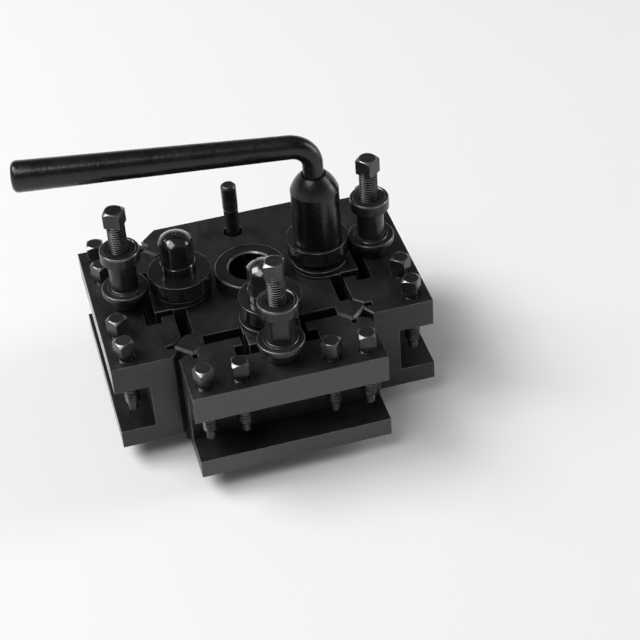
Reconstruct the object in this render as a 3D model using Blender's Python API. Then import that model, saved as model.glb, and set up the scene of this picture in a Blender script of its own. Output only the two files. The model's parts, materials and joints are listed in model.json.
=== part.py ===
"""A quick change tool post for a lathe, as an assembly of separate pieces.

A steel post with vee ridges on three faces carries three tool holders. On each face a hexagon-headed
cam spindle stands through a tee clamp, and turning it pushes the clamp out and frees the holder. Each
holder has a slot for the tool, four square-headed set screws that hold the tool down, and a stud with a
height nut. A bush lines the bore for the lathe's own stud, a loose pin indexes the post, and the cranked
wrench stands on the right-hand cam.

Every side is drawn once, looking outwards along +X from the post's axis with +Y across the face, and is
then turned to its place. Heights of what stands on the post are counted from the post's top face. All
sizes are in metres, and angles are in degrees.
"""

import math

import bmesh
import bpy
from mathutils import Matrix, Vector

# Fits between pieces.
GAP = 0.0003  # between faces that touch
SLIDE_GAP = 0.0004  # beside a clamp in its pocket
THREAD_GAP = 0.0004  # round a plain stand-in for a thread

# The plan that the post and its holders share, worked out from the holders' length.
HOLDER_LENGTH = 0.120
HALF_LENGTH = HOLDER_LENGTH / 2
RIDGE_SPREAD = HALF_LENGTH - 0.010  # from the middle of a face to the crest of its vee ridge
CREST_DISTANCE = HALF_LENGTH + 0.0014  # from the post's axis to the sharp crest of a ridge
CORNER_SUM = CREST_DISTANCE + RIDGE_SPREAD  # |x| + |y| on the 45 degree planes behind the ridges
FACE_DISTANCE = HALF_LENGTH - 0.0135  # from the axis to the middle of each clamping face
LAND_DISTANCE = FACE_DISTANCE + 0.0081  # to the holder's back face between the grooves

# The post.
POST_HEIGHT = 0.077
BACK_DISTANCE = HALF_LENGTH + 0.0084  # from the axis to the plain back face
RIDGE_INNER_RUN = 0.008  # length across the face of a ridge's inner flank
RIDGE_FLAT = 0.0010  # half the width of the flat on the crest
REAR_FLANK_SPREAD = RIDGE_SPREAD + 0.0038  # where the rear ridges' outer flanks end
REAR_HALF_WIDTH = HALF_LENGTH - 0.0005
REAR_SHOULDER = REAR_HALF_WIDTH - 0.0030  # where the rear corner starts, from the middle of the post
REAR_CORNER_CUT = 0.0085  # each leg of the bevel on the back corners

# The centre bush.
BUSH_BORE_RADIUS = 0.0135
BUSH_BODY_RADIUS = 0.0178
BUSH_FLANGE_RADIUS = 0.0227
BUSH_FLANGE_HEIGHT = 0.009
BUSH_FOOT = 0.002  # height of the bush's lower end above the post's foot
BUSH_RIM_RADIUS = 0.002
BUSH_BORE_CHAMFER = 0.0008

# The index pin.
PIN_DISTANCE = BACK_DISTANCE - 0.018  # behind the axis
PIN_RADIUS = 0.005
PIN_HOLE_RADIUS = 0.0062
PIN_STAND = 0.037  # above the top face
PIN_GROOVE_HEIGHT = 0.019
PIN_GROOVE_DEPTH = 0.0006
PIN_GROOVE_WIDTH = 0.001
PIN_CHAMFER = 0.0012

# The cam spindles.
CAM_DISTANCE = FACE_DISTANCE - 0.0015
DISC_RADIUS = 0.0195
DISC_UNDERSIDE = 0.009
DISC_THICKNESS = 0.0105
DISC_OFFSET = 0.0025  # of the disc's centre from the spindle's axis
NECK_RADIUS = 0.011
NECK_HEIGHT = 0.0055
HEX_ACROSS_FLATS = 0.019
HEX_HEIGHT = 0.0208  # with the domed end
DOME_RADIUS = 0.0133
SPINDLE_RADIUS = 0.0085
JOURNAL_RADIUS = 0.0105
JOURNAL_THROW = 0.002
JOURNAL_ANGLE = -112.5  # from outwards, with the clamp drawn in
JOURNAL_FOOT = 0.030
JOURNAL_TOP = 0.074
TAIL_RADIUS = 0.008
TAIL_FOOT = 0.001
RING_RADIUS = 0.0115
RING_HEIGHT = 0.0014
RING_GROOVE_FOOT = 0.0032
RING_GROOVE_DEPTH = 0.0010
RING_MOUTH = 40.0
RING_RECESS_RADIUS = 0.013
RING_RECESS_DEPTH = 0.006

# The tee clamps.
CLAMP_FOOT = 0.027
CLAMP_HALF_WIDTH = 0.018  # in the post
TONGUE_HALF_WIDTH = 0.017  # in the holder's slot
TONGUE_END = LAND_DISTANCE + 0.011  # from the post's axis
TONGUE_STAND = 0.0015  # above the post
BOSS_STAND = 0.0048
LUG_HALF_WIDTH = 0.0253
LUG_THICKNESS = 0.0070
LUG_HEIGHT = 0.035
CLAMP_BORE_RADIUS = 0.01085

# The holders.
HOLDER_HEIGHT = 0.064
HOLDER_FRONT = LAND_DISTANCE + 0.0467  # from the post's axis to the outer face
END_INSET = 0.0068  # length along the back of the chamfer at each end
END_FACE_DISTANCE = HALF_LENGTH + 0.0029  # from the post's axis to the inner edge of the end face
RELIEF_WIDTH = 0.0032
RELIEF_DEPTH = 0.0035
MOUTH_HALF_WIDTH = 0.0204
TEE_HALF_WIDTH = 0.026
TEE_NEAR = LAND_DISTANCE + 0.0079  # the two walls of the tee slot's wide part, from the post's axis
TEE_FAR = TEE_NEAR + 0.0097
TOP_BAR = 0.0192
BOTTOM_BAR = 0.013
SLOT_DEPTH = 0.022

# The tool clamping set screws.
SCREW_OUTER_SPREAD = HALF_LENGTH - 0.010
SCREW_INNER_SPREAD = HALF_LENGTH - 0.032
SCREW_SPREADS = (-SCREW_OUTER_SPREAD, -SCREW_INNER_SPREAD, SCREW_INNER_SPREAD, SCREW_OUTER_SPREAD)
SCREW_SETBACK = 0.011  # from the holder's outer face
SCREW_RADIUS = 0.0047
SCREW_DOG_RADIUS = 0.0031
SCREW_DOG_LENGTH = 0.006
TIP_CHAMFER = 0.0005  # at the lower end of a screw or stud
SCREW_REACH = 0.042  # from the holder's top face down to the tip
SCREW_HEAD_FOOT = 0.0045
SCREW_HEAD_HEIGHT = 0.0085
SCREW_HEAD_ACROSS_FLATS = 0.010
SCREW_HEAD_TURNS = (20.0, 62.0, 35.0, 5.0)

# The square heads, as shares of half their width, and the slope of the cone that crowns them.
CROWN_FLAT_SHARE = 0.92
CROWN_CORNER_SHARE = 0.96
CROWN_SLOPE = 30.0

# The height studs and their nuts.
STUD_DISTANCE = LAND_DISTANCE + 0.0249
STUD_RADIUS = 0.0058
STUD_DEPTH = 0.015  # in the top bar
STUD_HEAD_TOP = 0.0722
STUD_HEAD_HEIGHT = 0.0105
STUD_HEAD_ACROSS_FLATS = 0.0112
STUD_HEAD_TURN = 12.0
STUD_TIP_CHAMFER = 0.001
NUT_HUB_RADIUS = 0.0095
NUT_NECK_RADIUS = 0.009
NUT_FLANGE_FOOT = 0.0098
NUT_FLANGE_HEIGHT = 0.0042
NUT_FLANGE_RADIUS = 0.0146
NUT_COLLAR_FOOT = 0.0348
NUT_COLLAR_RADIUS = 0.0124
NUT_TOP = 0.0432
NUT_EDGE_CHAMFER = 0.0008

# The wrench.
SOCKET_RADIUS = 0.0152
SOCKET_HEIGHT = 0.038
SHOULDER_HEIGHT = 0.011
SHOULDER_RADIUS = 0.0085
SOCKET_FOOT_CHAMFER = 0.0012
HANDLE_HEIGHT = 0.090  # of its axis above the post
HANDLE_REACH = 0.181  # from the cam's axis to the free end
HANDLE_ANGLE = 170.7
HANDLE_BEND_RADIUS = 0.0135
ROD_RADIUS = 0.0065
HANDLE_ROOT_RADIUS = 0.0074
HANDLE_END_RADIUS = 0.0100
ROD_SEAT_DEPTH = 0.008
ROD_END_ROUND = 0.002
ROD_END_SHARE = 0.3  # of that rounding, where its profile turns

SIDES = {"left": 180.0, "front": -90.0, "right": 0.0}
WRENCH_SIDE = "right"

# Roundness of the turned pieces.
LARGE_SEGMENTS = 32
MEDIUM_SEGMENTS = 20
SMALL_SEGMENTS = 12
RIM_STEPS = 4
DOME_STEPS = 4
SHOULDER_STEPS = 6
ROD_BEND_STEPS = 8
ROD_BEVEL_RESOLUTION = 4
SHARP_ANGLE = 40.0
MERGE_DISTANCE = 1e-7

FINISHES = {
    "black_oxide": ((0.035, 0.036, 0.037), 0.42, 0.85),
    "worn_oxide": ((0.075, 0.077, 0.078), 0.45, 0.85),
    "bush_steel": ((0.055, 0.055, 0.053), 0.36, 0.90),
    "screw_steel": ((0.050, 0.050, 0.051), 0.30, 0.90),
    "forged_black": ((0.022, 0.022, 0.023), 0.34, 0.60),
}


def clear_scene():
    for old in list(bpy.data.objects):
        bpy.data.objects.remove(old, do_unlink=True)


def make_finishes():
    finishes = {}
    for name, (colour, roughness, metallic) in FINISHES.items():
        material = bpy.data.materials.new(name)
        material.use_nodes = True
        shader = material.node_tree.nodes["Principled BSDF"]
        shader.inputs["Base Color"].default_value = (*colour, 1.0)
        shader.inputs["Roughness"].default_value = roughness
        shader.inputs["Metallic"].default_value = metallic
        finishes[name] = material
    return finishes


# ---- shapes ----


def mesh_from(shape, name):
    bmesh.ops.recalc_face_normals(shape, faces=shape.faces)
    mesh = bpy.data.meshes.new(name)
    shape.to_mesh(mesh)
    shape.free()
    return mesh


def prism(name, outline, foot, top):
    """A closed solid with the given plan, between two heights."""
    shape = bmesh.new()
    face = shape.faces.new([shape.verts.new((x, y, foot)) for x, y in outline])
    raised = bmesh.ops.extrude_face_region(shape, geom=[face])["geom"]
    verts = [item for item in raised if isinstance(item, bmesh.types.BMVert)]
    bmesh.ops.translate(shape, verts=verts, vec=(0.0, 0.0, top - foot))
    return mesh_from(shape, name)


def turned(name, profile, segments=LARGE_SEGMENTS, centre=(0.0, 0.0)):
    """A solid of revolution. The profile is (radius, height) points down its outer side."""
    shape = bmesh.new()
    points = list(profile)
    if points[0][0] > 0.0 and points[-1][0] > 0.0 and points[0] != points[-1]:
        points = [(0.0, points[0][1]), *points, (0.0, points[-1][1])]
    verts = [shape.verts.new((radius, 0.0, height)) for radius, height in points]
    edges = [shape.edges.new(pair) for pair in zip(verts, verts[1:])]
    bmesh.ops.spin(
        shape,
        geom=verts + edges,
        axis=(0.0, 0.0, 1.0),
        cent=(0.0, 0.0, 0.0),
        angle=math.tau,
        steps=segments,
        use_merge=True,
    )
    bmesh.ops.remove_doubles(shape, verts=shape.verts, dist=MERGE_DISTANCE)
    bmesh.ops.translate(shape, verts=shape.verts, vec=(*centre, 0.0))
    return mesh_from(shape, name)


def cylinder(radius, foot, top, segments=LARGE_SEGMENTS, centre=(0.0, 0.0)):
    return turned("cylinder", [(radius, top), (radius, foot)], segments, centre)


def box(x_range, y_range, z_range):
    outline = [(x_range[i], y_range[j]) for i, j in ((0, 0), (1, 0), (1, 1), (0, 1))]
    return prism("box", outline, *z_range)


def polygon(sides, across_flats, turn=0.0):
    radius = across_flats / 2 / math.cos(math.pi / sides)
    angles = [math.radians(turn) + math.tau * step / sides for step in range(sides)]
    return [(radius * math.cos(angle), radius * math.sin(angle)) for angle in angles]


def arc(centre, radius, start, end, steps):
    angles = [math.radians(start + (end - start) * step / steps) for step in range(steps + 1)]
    return [(centre[0] + radius * math.cos(a), centre[1] + radius * math.sin(a)) for a in angles]


def flats_cutter(sides, across_flats, outer_radius, foot, top, turn=0.0):
    """A ring with a polygonal hole, which leaves a prismatic head on a round bar."""
    shape = bmesh.new()
    loops = []
    for height in (foot, top):
        inner = polygon(sides, across_flats, turn)
        outer = polygon(sides, 2 * outer_radius, turn)
        rings = (inner, outer)
        loops.append([[shape.verts.new((x, y, height)) for x, y in ring] for ring in rings])
    (low_in, low_out), (high_in, high_out) = loops
    for near, far in ((low_in, low_out), (low_out, high_out), (high_out, high_in), (high_in, low_in)):
        for step in range(sides):
            after = (step + 1) % sides
            shape.faces.new((near[step], near[after], far[after], far[step]))
    return mesh_from(shape, "flats_cutter")


def combine(name, base, steps):
    """The base mesh after a chain of exact Booleans, each an operation's name and the other mesh."""
    body = bpy.data.objects.new(name, base)
    bpy.context.collection.objects.link(body)
    tools = []
    for operation, mesh in steps:
        tool = bpy.data.objects.new("tool", mesh)
        bpy.context.collection.objects.link(tool)
        modifier = body.modifiers.new(operation.lower(), "BOOLEAN")
        modifier.operation = operation
        modifier.object = tool
        tools.append(tool)
    graph = bpy.context.evaluated_depsgraph_get()
    result = bpy.data.meshes.new_from_object(body.evaluated_get(graph))
    for helper in [body, *tools]:
        bpy.data.objects.remove(helper, do_unlink=True)
    result.name = name
    return result


def moved(mesh, offset=(0.0, 0.0, 0.0), turn=0.0):
    mesh.transform(Matrix.Translation(offset) @ Matrix.Rotation(math.radians(turn), 4, "Z"))
    return mesh


def place(name, mesh, finish, parent, location=(0.0, 0.0, 0.0), turn=0.0):
    """An object for one piece, smooth where it is round, on its parent."""
    if not mesh.materials:
        mesh.materials.append(finish)
        mesh.shade_smooth()
        mesh.set_sharp_from_angle(angle=math.radians(SHARP_ANGLE))
    piece = bpy.data.objects.new(name, mesh)
    bpy.context.collection.objects.link(piece)
    piece.parent = parent
    piece.location = location
    piece.rotation_euler = (0.0, 0.0, math.radians(turn))
    return piece


def add_empty(name, parent=None, turn=0.0):
    empty = bpy.data.objects.new(name, None)
    bpy.context.collection.objects.link(empty)
    empty.parent = parent
    empty.rotation_euler = (0.0, 0.0, math.radians(turn))
    return empty


# ---- the post ----


def half_face():
    """A side's outline from the middle of its face to the crest of one ridge, as (distance out, spread)."""
    root_spread = RIDGE_SPREAD - RIDGE_INNER_RUN
    return [
        (FACE_DISTANCE, root_spread),
        (CREST_DISTANCE - RIDGE_INNER_RUN, root_spread),
        (CREST_DISTANCE - RIDGE_FLAT, RIDGE_SPREAD - RIDGE_FLAT),
        (CREST_DISTANCE - RIDGE_FLAT, RIDGE_SPREAD + RIDGE_FLAT),
    ]


def turned_points(points, angle):
    spin = Matrix.Rotation(math.radians(angle), 2)
    return [tuple(spin @ Vector(point)) for point in points]


def post_outline():
    """The post's plan: three faces with two ridges each, and a plain back with bevelled corners."""
    rear = [
        (CORNER_SUM - REAR_FLANK_SPREAD, REAR_FLANK_SPREAD),
        (REAR_HALF_WIDTH, REAR_SHOULDER),
        (REAR_HALF_WIDTH, BACK_DISTANCE - REAR_CORNER_CUT),
        (REAR_HALF_WIDTH - REAR_CORNER_CUT, BACK_DISTANCE),
    ]
    up = half_face()
    down = [(out, -spread) for out, spread in reversed(up)]
    outline = []
    for angle in SIDES.values():
        outline += turned_points(down + up, angle)
    outline += rear
    outline += [(-x, y) for x, y in reversed(rear)]
    return outline


def clamp_pocket():
    """The pocket for a clamp: open at the top and the face, and round behind the cam."""
    half_width = CLAMP_HALF_WIDTH + SLIDE_GAP
    outline = arc((CAM_DISTANCE, 0.0), half_width, 90.0, 270.0, MEDIUM_SEGMENTS // 2)
    mouth = FACE_DISTANCE + half_width
    outline += [(mouth, -half_width), (mouth, half_width)]
    return prism("pocket", outline, CLAMP_FOOT - SLIDE_GAP, POST_HEIGHT + GAP)


def post_mesh():
    steps = []
    for angle in SIDES.values():
        centre = (CAM_DISTANCE, 0.0)
        bore_profile = [
            (TAIL_RADIUS + GAP, CLAMP_FOOT + GAP),
            (TAIL_RADIUS + GAP, RING_RECESS_DEPTH),
            (RING_RECESS_RADIUS, RING_RECESS_DEPTH),
            (RING_RECESS_RADIUS, -GAP),
        ]
        tail_bore = turned("tail_bore", bore_profile, MEDIUM_SEGMENTS, centre)
        for cutter in (clamp_pocket(), tail_bore):
            steps.append(("DIFFERENCE", moved(cutter, turn=angle)))
    steps.append(("DIFFERENCE", cylinder(BUSH_BODY_RADIUS + GAP, -GAP, POST_HEIGHT + GAP)))
    pin_centre = (0.0, PIN_DISTANCE)
    pin_hole = cylinder(PIN_HOLE_RADIUS, -GAP, POST_HEIGHT + GAP, SMALL_SEGMENTS, pin_centre)
    steps.append(("DIFFERENCE", pin_hole))
    return combine("post_block", prism("post", post_outline(), 0.0, POST_HEIGHT), steps)


def bush_mesh():
    top = POST_HEIGHT + BUSH_FLANGE_HEIGHT
    rim_centre = (BUSH_FLANGE_RADIUS - BUSH_RIM_RADIUS, top - BUSH_RIM_RADIUS)
    rim = arc(rim_centre, BUSH_RIM_RADIUS, 90.0, 0.0, RIM_STEPS)
    profile = [
        (BUSH_BORE_RADIUS + BUSH_BORE_CHAMFER, top),
        *rim,
        (BUSH_FLANGE_RADIUS, POST_HEIGHT + GAP),
        (BUSH_BODY_RADIUS, POST_HEIGHT + GAP),
        (BUSH_BODY_RADIUS, BUSH_FOOT),
        (BUSH_BORE_RADIUS, BUSH_FOOT),
        (BUSH_BORE_RADIUS, top - BUSH_BORE_CHAMFER),
        (BUSH_BORE_RADIUS + BUSH_BORE_CHAMFER, top),
    ]
    return turned("centre_bush", profile)


def pin_mesh():
    top = POST_HEIGHT + PIN_STAND
    groove = POST_HEIGHT + PIN_GROOVE_HEIGHT
    half_groove = PIN_GROOVE_WIDTH / 2
    profile = [
        (PIN_RADIUS - PIN_CHAMFER, top),
        (PIN_RADIUS, top - PIN_CHAMFER),
        (PIN_RADIUS, groove + half_groove),
        (PIN_RADIUS - PIN_GROOVE_DEPTH, groove + half_groove),
        (PIN_RADIUS - PIN_GROOVE_DEPTH, groove - half_groove),
        (PIN_RADIUS, groove - half_groove),
        (PIN_RADIUS, GAP + PIN_CHAMFER),
        (PIN_RADIUS - PIN_CHAMFER, GAP),
    ]
    return turned("index_pin", profile, SMALL_SEGMENTS)


# ---- one side's clamp ----


def journal_centre():
    angle = math.radians(JOURNAL_ANGLE)
    return (JOURNAL_THROW * math.cos(angle), JOURNAL_THROW * math.sin(angle))


def dome_profile(top, radius):
    """Points down a spherical end from the axis to the given radius."""
    half_angle = math.degrees(math.asin(radius / DOME_RADIUS))
    return arc((0.0, top - DOME_RADIUS), DOME_RADIUS, 90.0, 90.0 - half_angle, DOME_STEPS)


def cam_mesh():
    """The cam spindle about its own axis: tail, eccentric journal, offset disc, neck and domed hexagon."""
    disc_foot = POST_HEIGHT + DISC_UNDERSIDE
    disc_top = disc_foot + DISC_THICKNESS
    hex_foot = disc_top + NECK_HEIGHT
    hex_top = hex_foot + HEX_HEIGHT
    shoulder = POST_HEIGHT + BOSS_STAND + GAP
    groove_top = RING_GROOVE_FOOT + RING_HEIGHT + 2 * GAP
    profile = [
        *dome_profile(hex_top, NECK_RADIUS),
        (NECK_RADIUS, shoulder),
        (SPINDLE_RADIUS, shoulder),
        (SPINDLE_RADIUS, (JOURNAL_FOOT + JOURNAL_TOP) / 2),
        (TAIL_RADIUS, (JOURNAL_FOOT + JOURNAL_TOP) / 2),
        (TAIL_RADIUS, groove_top),
        (TAIL_RADIUS - RING_GROOVE_DEPTH, groove_top),
        (TAIL_RADIUS - RING_GROOVE_DEPTH, RING_GROOVE_FOOT),
        (TAIL_RADIUS, RING_GROOVE_FOOT),
        (TAIL_RADIUS, TAIL_FOOT),
        (0.0, TAIL_FOOT),
    ]
    disc = cylinder(DISC_RADIUS, disc_foot, disc_top, centre=(0.0, DISC_OFFSET))
    journal = cylinder(JOURNAL_RADIUS, JOURNAL_FOOT, JOURNAL_TOP, MEDIUM_SEGMENTS, journal_centre())
    flats = flats_cutter(6, HEX_ACROSS_FLATS, 2 * NECK_RADIUS, hex_foot, hex_top + NECK_HEIGHT)
    steps = [("UNION", disc), ("UNION", journal), ("DIFFERENCE", flats)]
    return combine("cam", turned("spindle", profile, MEDIUM_SEGMENTS), steps)


def ring_mesh():
    """An open retaining ring in the spindle's groove."""
    foot = RING_GROOVE_FOOT + GAP
    inner = TAIL_RADIUS - RING_GROOVE_DEPTH + GAP
    half_mouth = RING_MOUTH / 2
    outline = arc((0.0, 0.0), RING_RADIUS, half_mouth, 360.0 - half_mouth, SMALL_SEGMENTS)
    outline += arc((0.0, 0.0), inner, 360.0 - half_mouth, half_mouth, SMALL_SEGMENTS)
    return prism("cam_ring", outline, foot, foot + RING_HEIGHT)


def clamp_mesh():
    """The tee clamp: a round-backed body, a tongue through the holder's slot, and two lugs."""
    body_top = POST_HEIGHT + TONGUE_STAND
    back = arc((CAM_DISTANCE, 0.0), CLAMP_HALF_WIDTH, 90.0, 270.0, MEDIUM_SEGMENTS // 2)
    neck = LAND_DISTANCE - SLIDE_GAP
    outline = [
        *back,
        (neck, -CLAMP_HALF_WIDTH),
        (neck, -TONGUE_HALF_WIDTH),
        (TONGUE_END, -TONGUE_HALF_WIDTH),
        (TONGUE_END, TONGUE_HALF_WIDTH),
        (neck, TONGUE_HALF_WIDTH),
        (neck, CLAMP_HALF_WIDTH),
    ]
    lug_near = TEE_NEAR + GAP
    lug_far = lug_near + LUG_THICKNESS
    lugs = box(
        (lug_near, lug_far), (-LUG_HALF_WIDTH, LUG_HALF_WIDTH), (CLAMP_FOOT, CLAMP_FOOT + LUG_HEIGHT)
    )
    centre = (CAM_DISTANCE, 0.0)
    boss_foot = (CLAMP_FOOT + POST_HEIGHT) / 2
    boss = cylinder(CLAMP_HALF_WIDTH, boss_foot, POST_HEIGHT + BOSS_STAND, centre=centre)
    # The bore is as far out as the journal, and midway across between its place at rest and its far one.
    journal_out, journal_across = journal_centre()
    bore_centre = (CAM_DISTANCE + journal_out, (journal_across - JOURNAL_THROW) / 2)
    bore = cylinder(CLAMP_BORE_RADIUS, 0.0, 2 * POST_HEIGHT, centre=bore_centre)
    steps = [("UNION", lugs), ("UNION", boss), ("DIFFERENCE", bore)]
    return combine("clamp", prism("body", outline, CLAMP_FOOT, body_top), steps)


# ---- one side's holder ----


def holder_half_outline():
    """The holder's plan from the outer face round one end to the middle of the tee slot."""
    flank_sum = CORNER_SUM + GAP * math.sqrt(2)
    inner_offset = CREST_DISTANCE - RIDGE_SPREAD + GAP * math.sqrt(2)
    inset_spread = HALF_LENGTH - END_INSET
    relief_near = RIDGE_SPREAD - RELIEF_WIDTH / 2
    relief_far = RIDGE_SPREAD + RELIEF_WIDTH / 2
    relief_floor = CREST_DISTANCE + RELIEF_DEPTH
    return [
        (HOLDER_FRONT, HALF_LENGTH),
        (END_FACE_DISTANCE, HALF_LENGTH),
        (flank_sum - inset_spread, inset_spread),
        (flank_sum - relief_far, relief_far),
        (relief_floor, relief_far),
        (relief_floor, relief_near),
        (relief_near + inner_offset, relief_near),
        (LAND_DISTANCE, LAND_DISTANCE - inner_offset),
        (LAND_DISTANCE, MOUTH_HALF_WIDTH),
        (TEE_NEAR, MOUTH_HALF_WIDTH),
        (TEE_NEAR, TEE_HALF_WIDTH),
        (TEE_FAR, TEE_HALF_WIDTH),
    ]


def holder_foot():
    return POST_HEIGHT - HOLDER_HEIGHT


def holder_mesh():
    half = holder_half_outline()
    outline = half + [(out, -spread) for out, spread in reversed(half)]
    foot = holder_foot()
    long_way = HALF_LENGTH + GAP
    slot_z = (foot + BOTTOM_BAR, POST_HEIGHT - TOP_BAR)
    slot = box((HOLDER_FRONT - SLOT_DEPTH, HOLDER_FRONT + GAP), (-long_way, long_way), slot_z)
    steps = [("DIFFERENCE", slot)]
    middle = (slot_z[0] + slot_z[1]) / 2
    screw_radius = SCREW_RADIUS + THREAD_GAP
    holes = [(screw_radius, middle, (HOLDER_FRONT - SCREW_SETBACK, spread)) for spread in SCREW_SPREADS]
    stud_foot = POST_HEIGHT - STUD_DEPTH - THREAD_GAP
    holes.append((STUD_RADIUS + THREAD_GAP, stud_foot, (STUD_DISTANCE, 0.0)))
    for radius, hole_foot, centre in holes:
        hole = cylinder(radius, hole_foot, POST_HEIGHT + GAP, SMALL_SEGMENTS, centre)
        steps.append(("DIFFERENCE", hole))
    return combine("holder", prism("holder", outline, foot, POST_HEIGHT), steps)


def headed_screw(name, radius, foot, head_foot, head_height, across_flats, tip):
    """A square-headed screw about its own axis. The tip is the (radius, height) points below the thread."""
    head_top = head_foot + head_height
    crown = across_flats / 2
    corner = crown * math.sqrt(2) * CROWN_CORNER_SHARE
    drop = (corner - crown) * math.tan(math.radians(CROWN_SLOPE))
    profile = [
        (crown * CROWN_FLAT_SHARE, head_top),
        (corner, head_top - drop),
        (corner, head_foot),
        (radius, head_foot),
        *tip,
        (tip[-1][0] - TIP_CHAMFER, foot),
    ]
    cutter = flats_cutter(4, across_flats, 2 * across_flats, head_foot, head_top + head_height)
    return combine(name, turned("screw", profile, SMALL_SEGMENTS), [("DIFFERENCE", cutter)])


def tool_screw_mesh():
    foot = POST_HEIGHT - SCREW_REACH
    shoulder = foot + SCREW_DOG_LENGTH
    slope = SCREW_RADIUS - SCREW_DOG_RADIUS
    tip = [
        (SCREW_RADIUS, shoulder + slope),
        (SCREW_DOG_RADIUS, shoulder),
        (SCREW_DOG_RADIUS, foot + TIP_CHAMFER),
    ]
    return headed_screw(
        "tool_screw",
        SCREW_RADIUS,
        foot,
        POST_HEIGHT + SCREW_HEAD_FOOT,
        SCREW_HEAD_HEIGHT,
        SCREW_HEAD_ACROSS_FLATS,
        tip,
    )


def height_stud_mesh():
    foot = POST_HEIGHT - STUD_DEPTH
    head_foot = POST_HEIGHT + STUD_HEAD_TOP - STUD_HEAD_HEIGHT
    tip = [(STUD_RADIUS, foot + STUD_TIP_CHAMFER)]
    return headed_screw(
        "height_stud", STUD_RADIUS, foot, head_foot, STUD_HEAD_HEIGHT, STUD_HEAD_ACROSS_FLATS, tip
    )


def height_nut_mesh():
    """The spool-shaped nut about its own axis: collar, neck, and the flange it stops with."""
    bore = STUD_RADIUS + THREAD_GAP
    foot = POST_HEIGHT + THREAD_GAP
    flange_foot = POST_HEIGHT + NUT_FLANGE_FOOT
    flange_top = flange_foot + NUT_FLANGE_HEIGHT
    collar_foot = POST_HEIGHT + NUT_COLLAR_FOOT
    top = POST_HEIGHT + NUT_TOP
    edge = NUT_EDGE_CHAMFER
    profile = [
        (bore, top),
        (NUT_COLLAR_RADIUS - edge, top),
        (NUT_COLLAR_RADIUS, top - edge),
        (NUT_COLLAR_RADIUS, collar_foot + edge),
        (NUT_COLLAR_RADIUS - edge, collar_foot),
        (NUT_NECK_RADIUS, collar_foot),
        (NUT_NECK_RADIUS, flange_top),
        (NUT_FLANGE_RADIUS - edge, flange_top),
        (NUT_FLANGE_RADIUS, flange_top - edge),
        (NUT_FLANGE_RADIUS, flange_foot),
        (NUT_HUB_RADIUS, flange_foot),
        (NUT_HUB_RADIUS, foot),
        (bore, foot),
        (bore, top),
    ]
    return turned("height_nut", profile, MEDIUM_SEGMENTS)


# ---- the wrench ----


def socket_mesh():
    """The wrench's socket about the cam's axis, with its hexagon hole and rod seat."""
    foot = POST_HEIGHT + DISC_UNDERSIDE + DISC_THICKNESS + GAP
    shoulder_foot = foot + SOCKET_HEIGHT
    top = shoulder_foot + SHOULDER_HEIGHT
    shoulder = []
    for step in range(SHOULDER_STEPS + 1):
        angle = math.pi / 2 * step / SHOULDER_STEPS
        radius = SHOULDER_RADIUS + (SOCKET_RADIUS - SHOULDER_RADIUS) * math.sin(angle)
        shoulder.append((radius, shoulder_foot + SHOULDER_HEIGHT * math.cos(angle)))
    profile = [
        *shoulder,
        (SOCKET_RADIUS, foot + SOCKET_FOOT_CHAMFER),
        (SOCKET_RADIUS - SOCKET_FOOT_CHAMFER, foot),
    ]
    hex_top = foot + NECK_HEIGHT + HEX_HEIGHT + GAP
    relief_top = foot + NECK_HEIGHT + GAP
    hole = prism("hole", polygon(6, HEX_ACROSS_FLATS + 2 * GAP), foot - GAP, hex_top)
    relief = cylinder(NECK_RADIUS + GAP + SLIDE_GAP, foot - GAP, relief_top)
    seat = cylinder(ROD_RADIUS + GAP, top - ROD_SEAT_DEPTH, top + GAP, SMALL_SEGMENTS)
    cuts = [("DIFFERENCE", cutter) for cutter in (hole, relief, seat)]
    return combine("wrench_socket", turned("socket", profile), cuts)


def handle_route():
    """(point, radius) along the bent rod, from its seat up, round the bend and out to the free end."""
    axis_height = POST_HEIGHT + HANDLE_HEIGHT
    socket_top = (
        POST_HEIGHT + DISC_UNDERSIDE + DISC_THICKNESS + GAP + SOCKET_HEIGHT + SHOULDER_HEIGHT
    )
    out = Vector((math.cos(math.radians(HANDLE_ANGLE)), math.sin(math.radians(HANDLE_ANGLE)), 0.0))
    seat = Vector((0.0, 0.0, socket_top - ROD_SEAT_DEPTH + GAP))
    bend_foot = axis_height - HANDLE_BEND_RADIUS
    route = [(seat, ROD_RADIUS), (Vector((0.0, 0.0, bend_foot)), ROD_RADIUS)]
    for step in range(1, ROD_BEND_STEPS + 1):
        angle = math.pi / 2 * step / ROD_BEND_STEPS
        along = HANDLE_BEND_RADIUS * (1 - math.cos(angle))
        height = bend_foot + HANDLE_BEND_RADIUS * math.sin(angle)
        radius = ROD_RADIUS + (HANDLE_ROOT_RADIUS - ROD_RADIUS) * step / ROD_BEND_STEPS
        route.append((out * along + Vector((0.0, 0.0, height)), radius))
    level = Vector((0.0, 0.0, axis_height))
    for share_in, share_down in ((1.0, 0.0), (ROD_END_SHARE, ROD_END_SHARE), (0.0, 1.0)):
        along = HANDLE_REACH - ROD_END_ROUND * share_in
        route.append((out * along + level, HANDLE_END_RADIUS - ROD_END_ROUND * share_down))
    return route


def add_handle(finish, parent):
    """The rod as a curve of varying radius with closed ends."""
    curve = bpy.data.curves.new("wrench_rod", "CURVE")
    curve.dimensions = "3D"
    curve.bevel_depth = 1.0
    curve.bevel_resolution = ROD_BEVEL_RESOLUTION
    curve.use_fill_caps = True
    route = handle_route()
    spline = curve.splines.new("POLY")
    spline.points.add(len(route) - 1)
    for point, (place_at, radius) in zip(spline.points, route):
        point.co = (*place_at, 1.0)
        point.radius = radius
    curve.materials.append(finish)
    rod = bpy.data.objects.new("wrench_rod", curve)
    bpy.context.collection.objects.link(rod)
    rod.parent = parent
    rod.location = (CAM_DISTANCE, 0.0, 0.0)
    return rod


# ---- assembly ----


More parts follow.
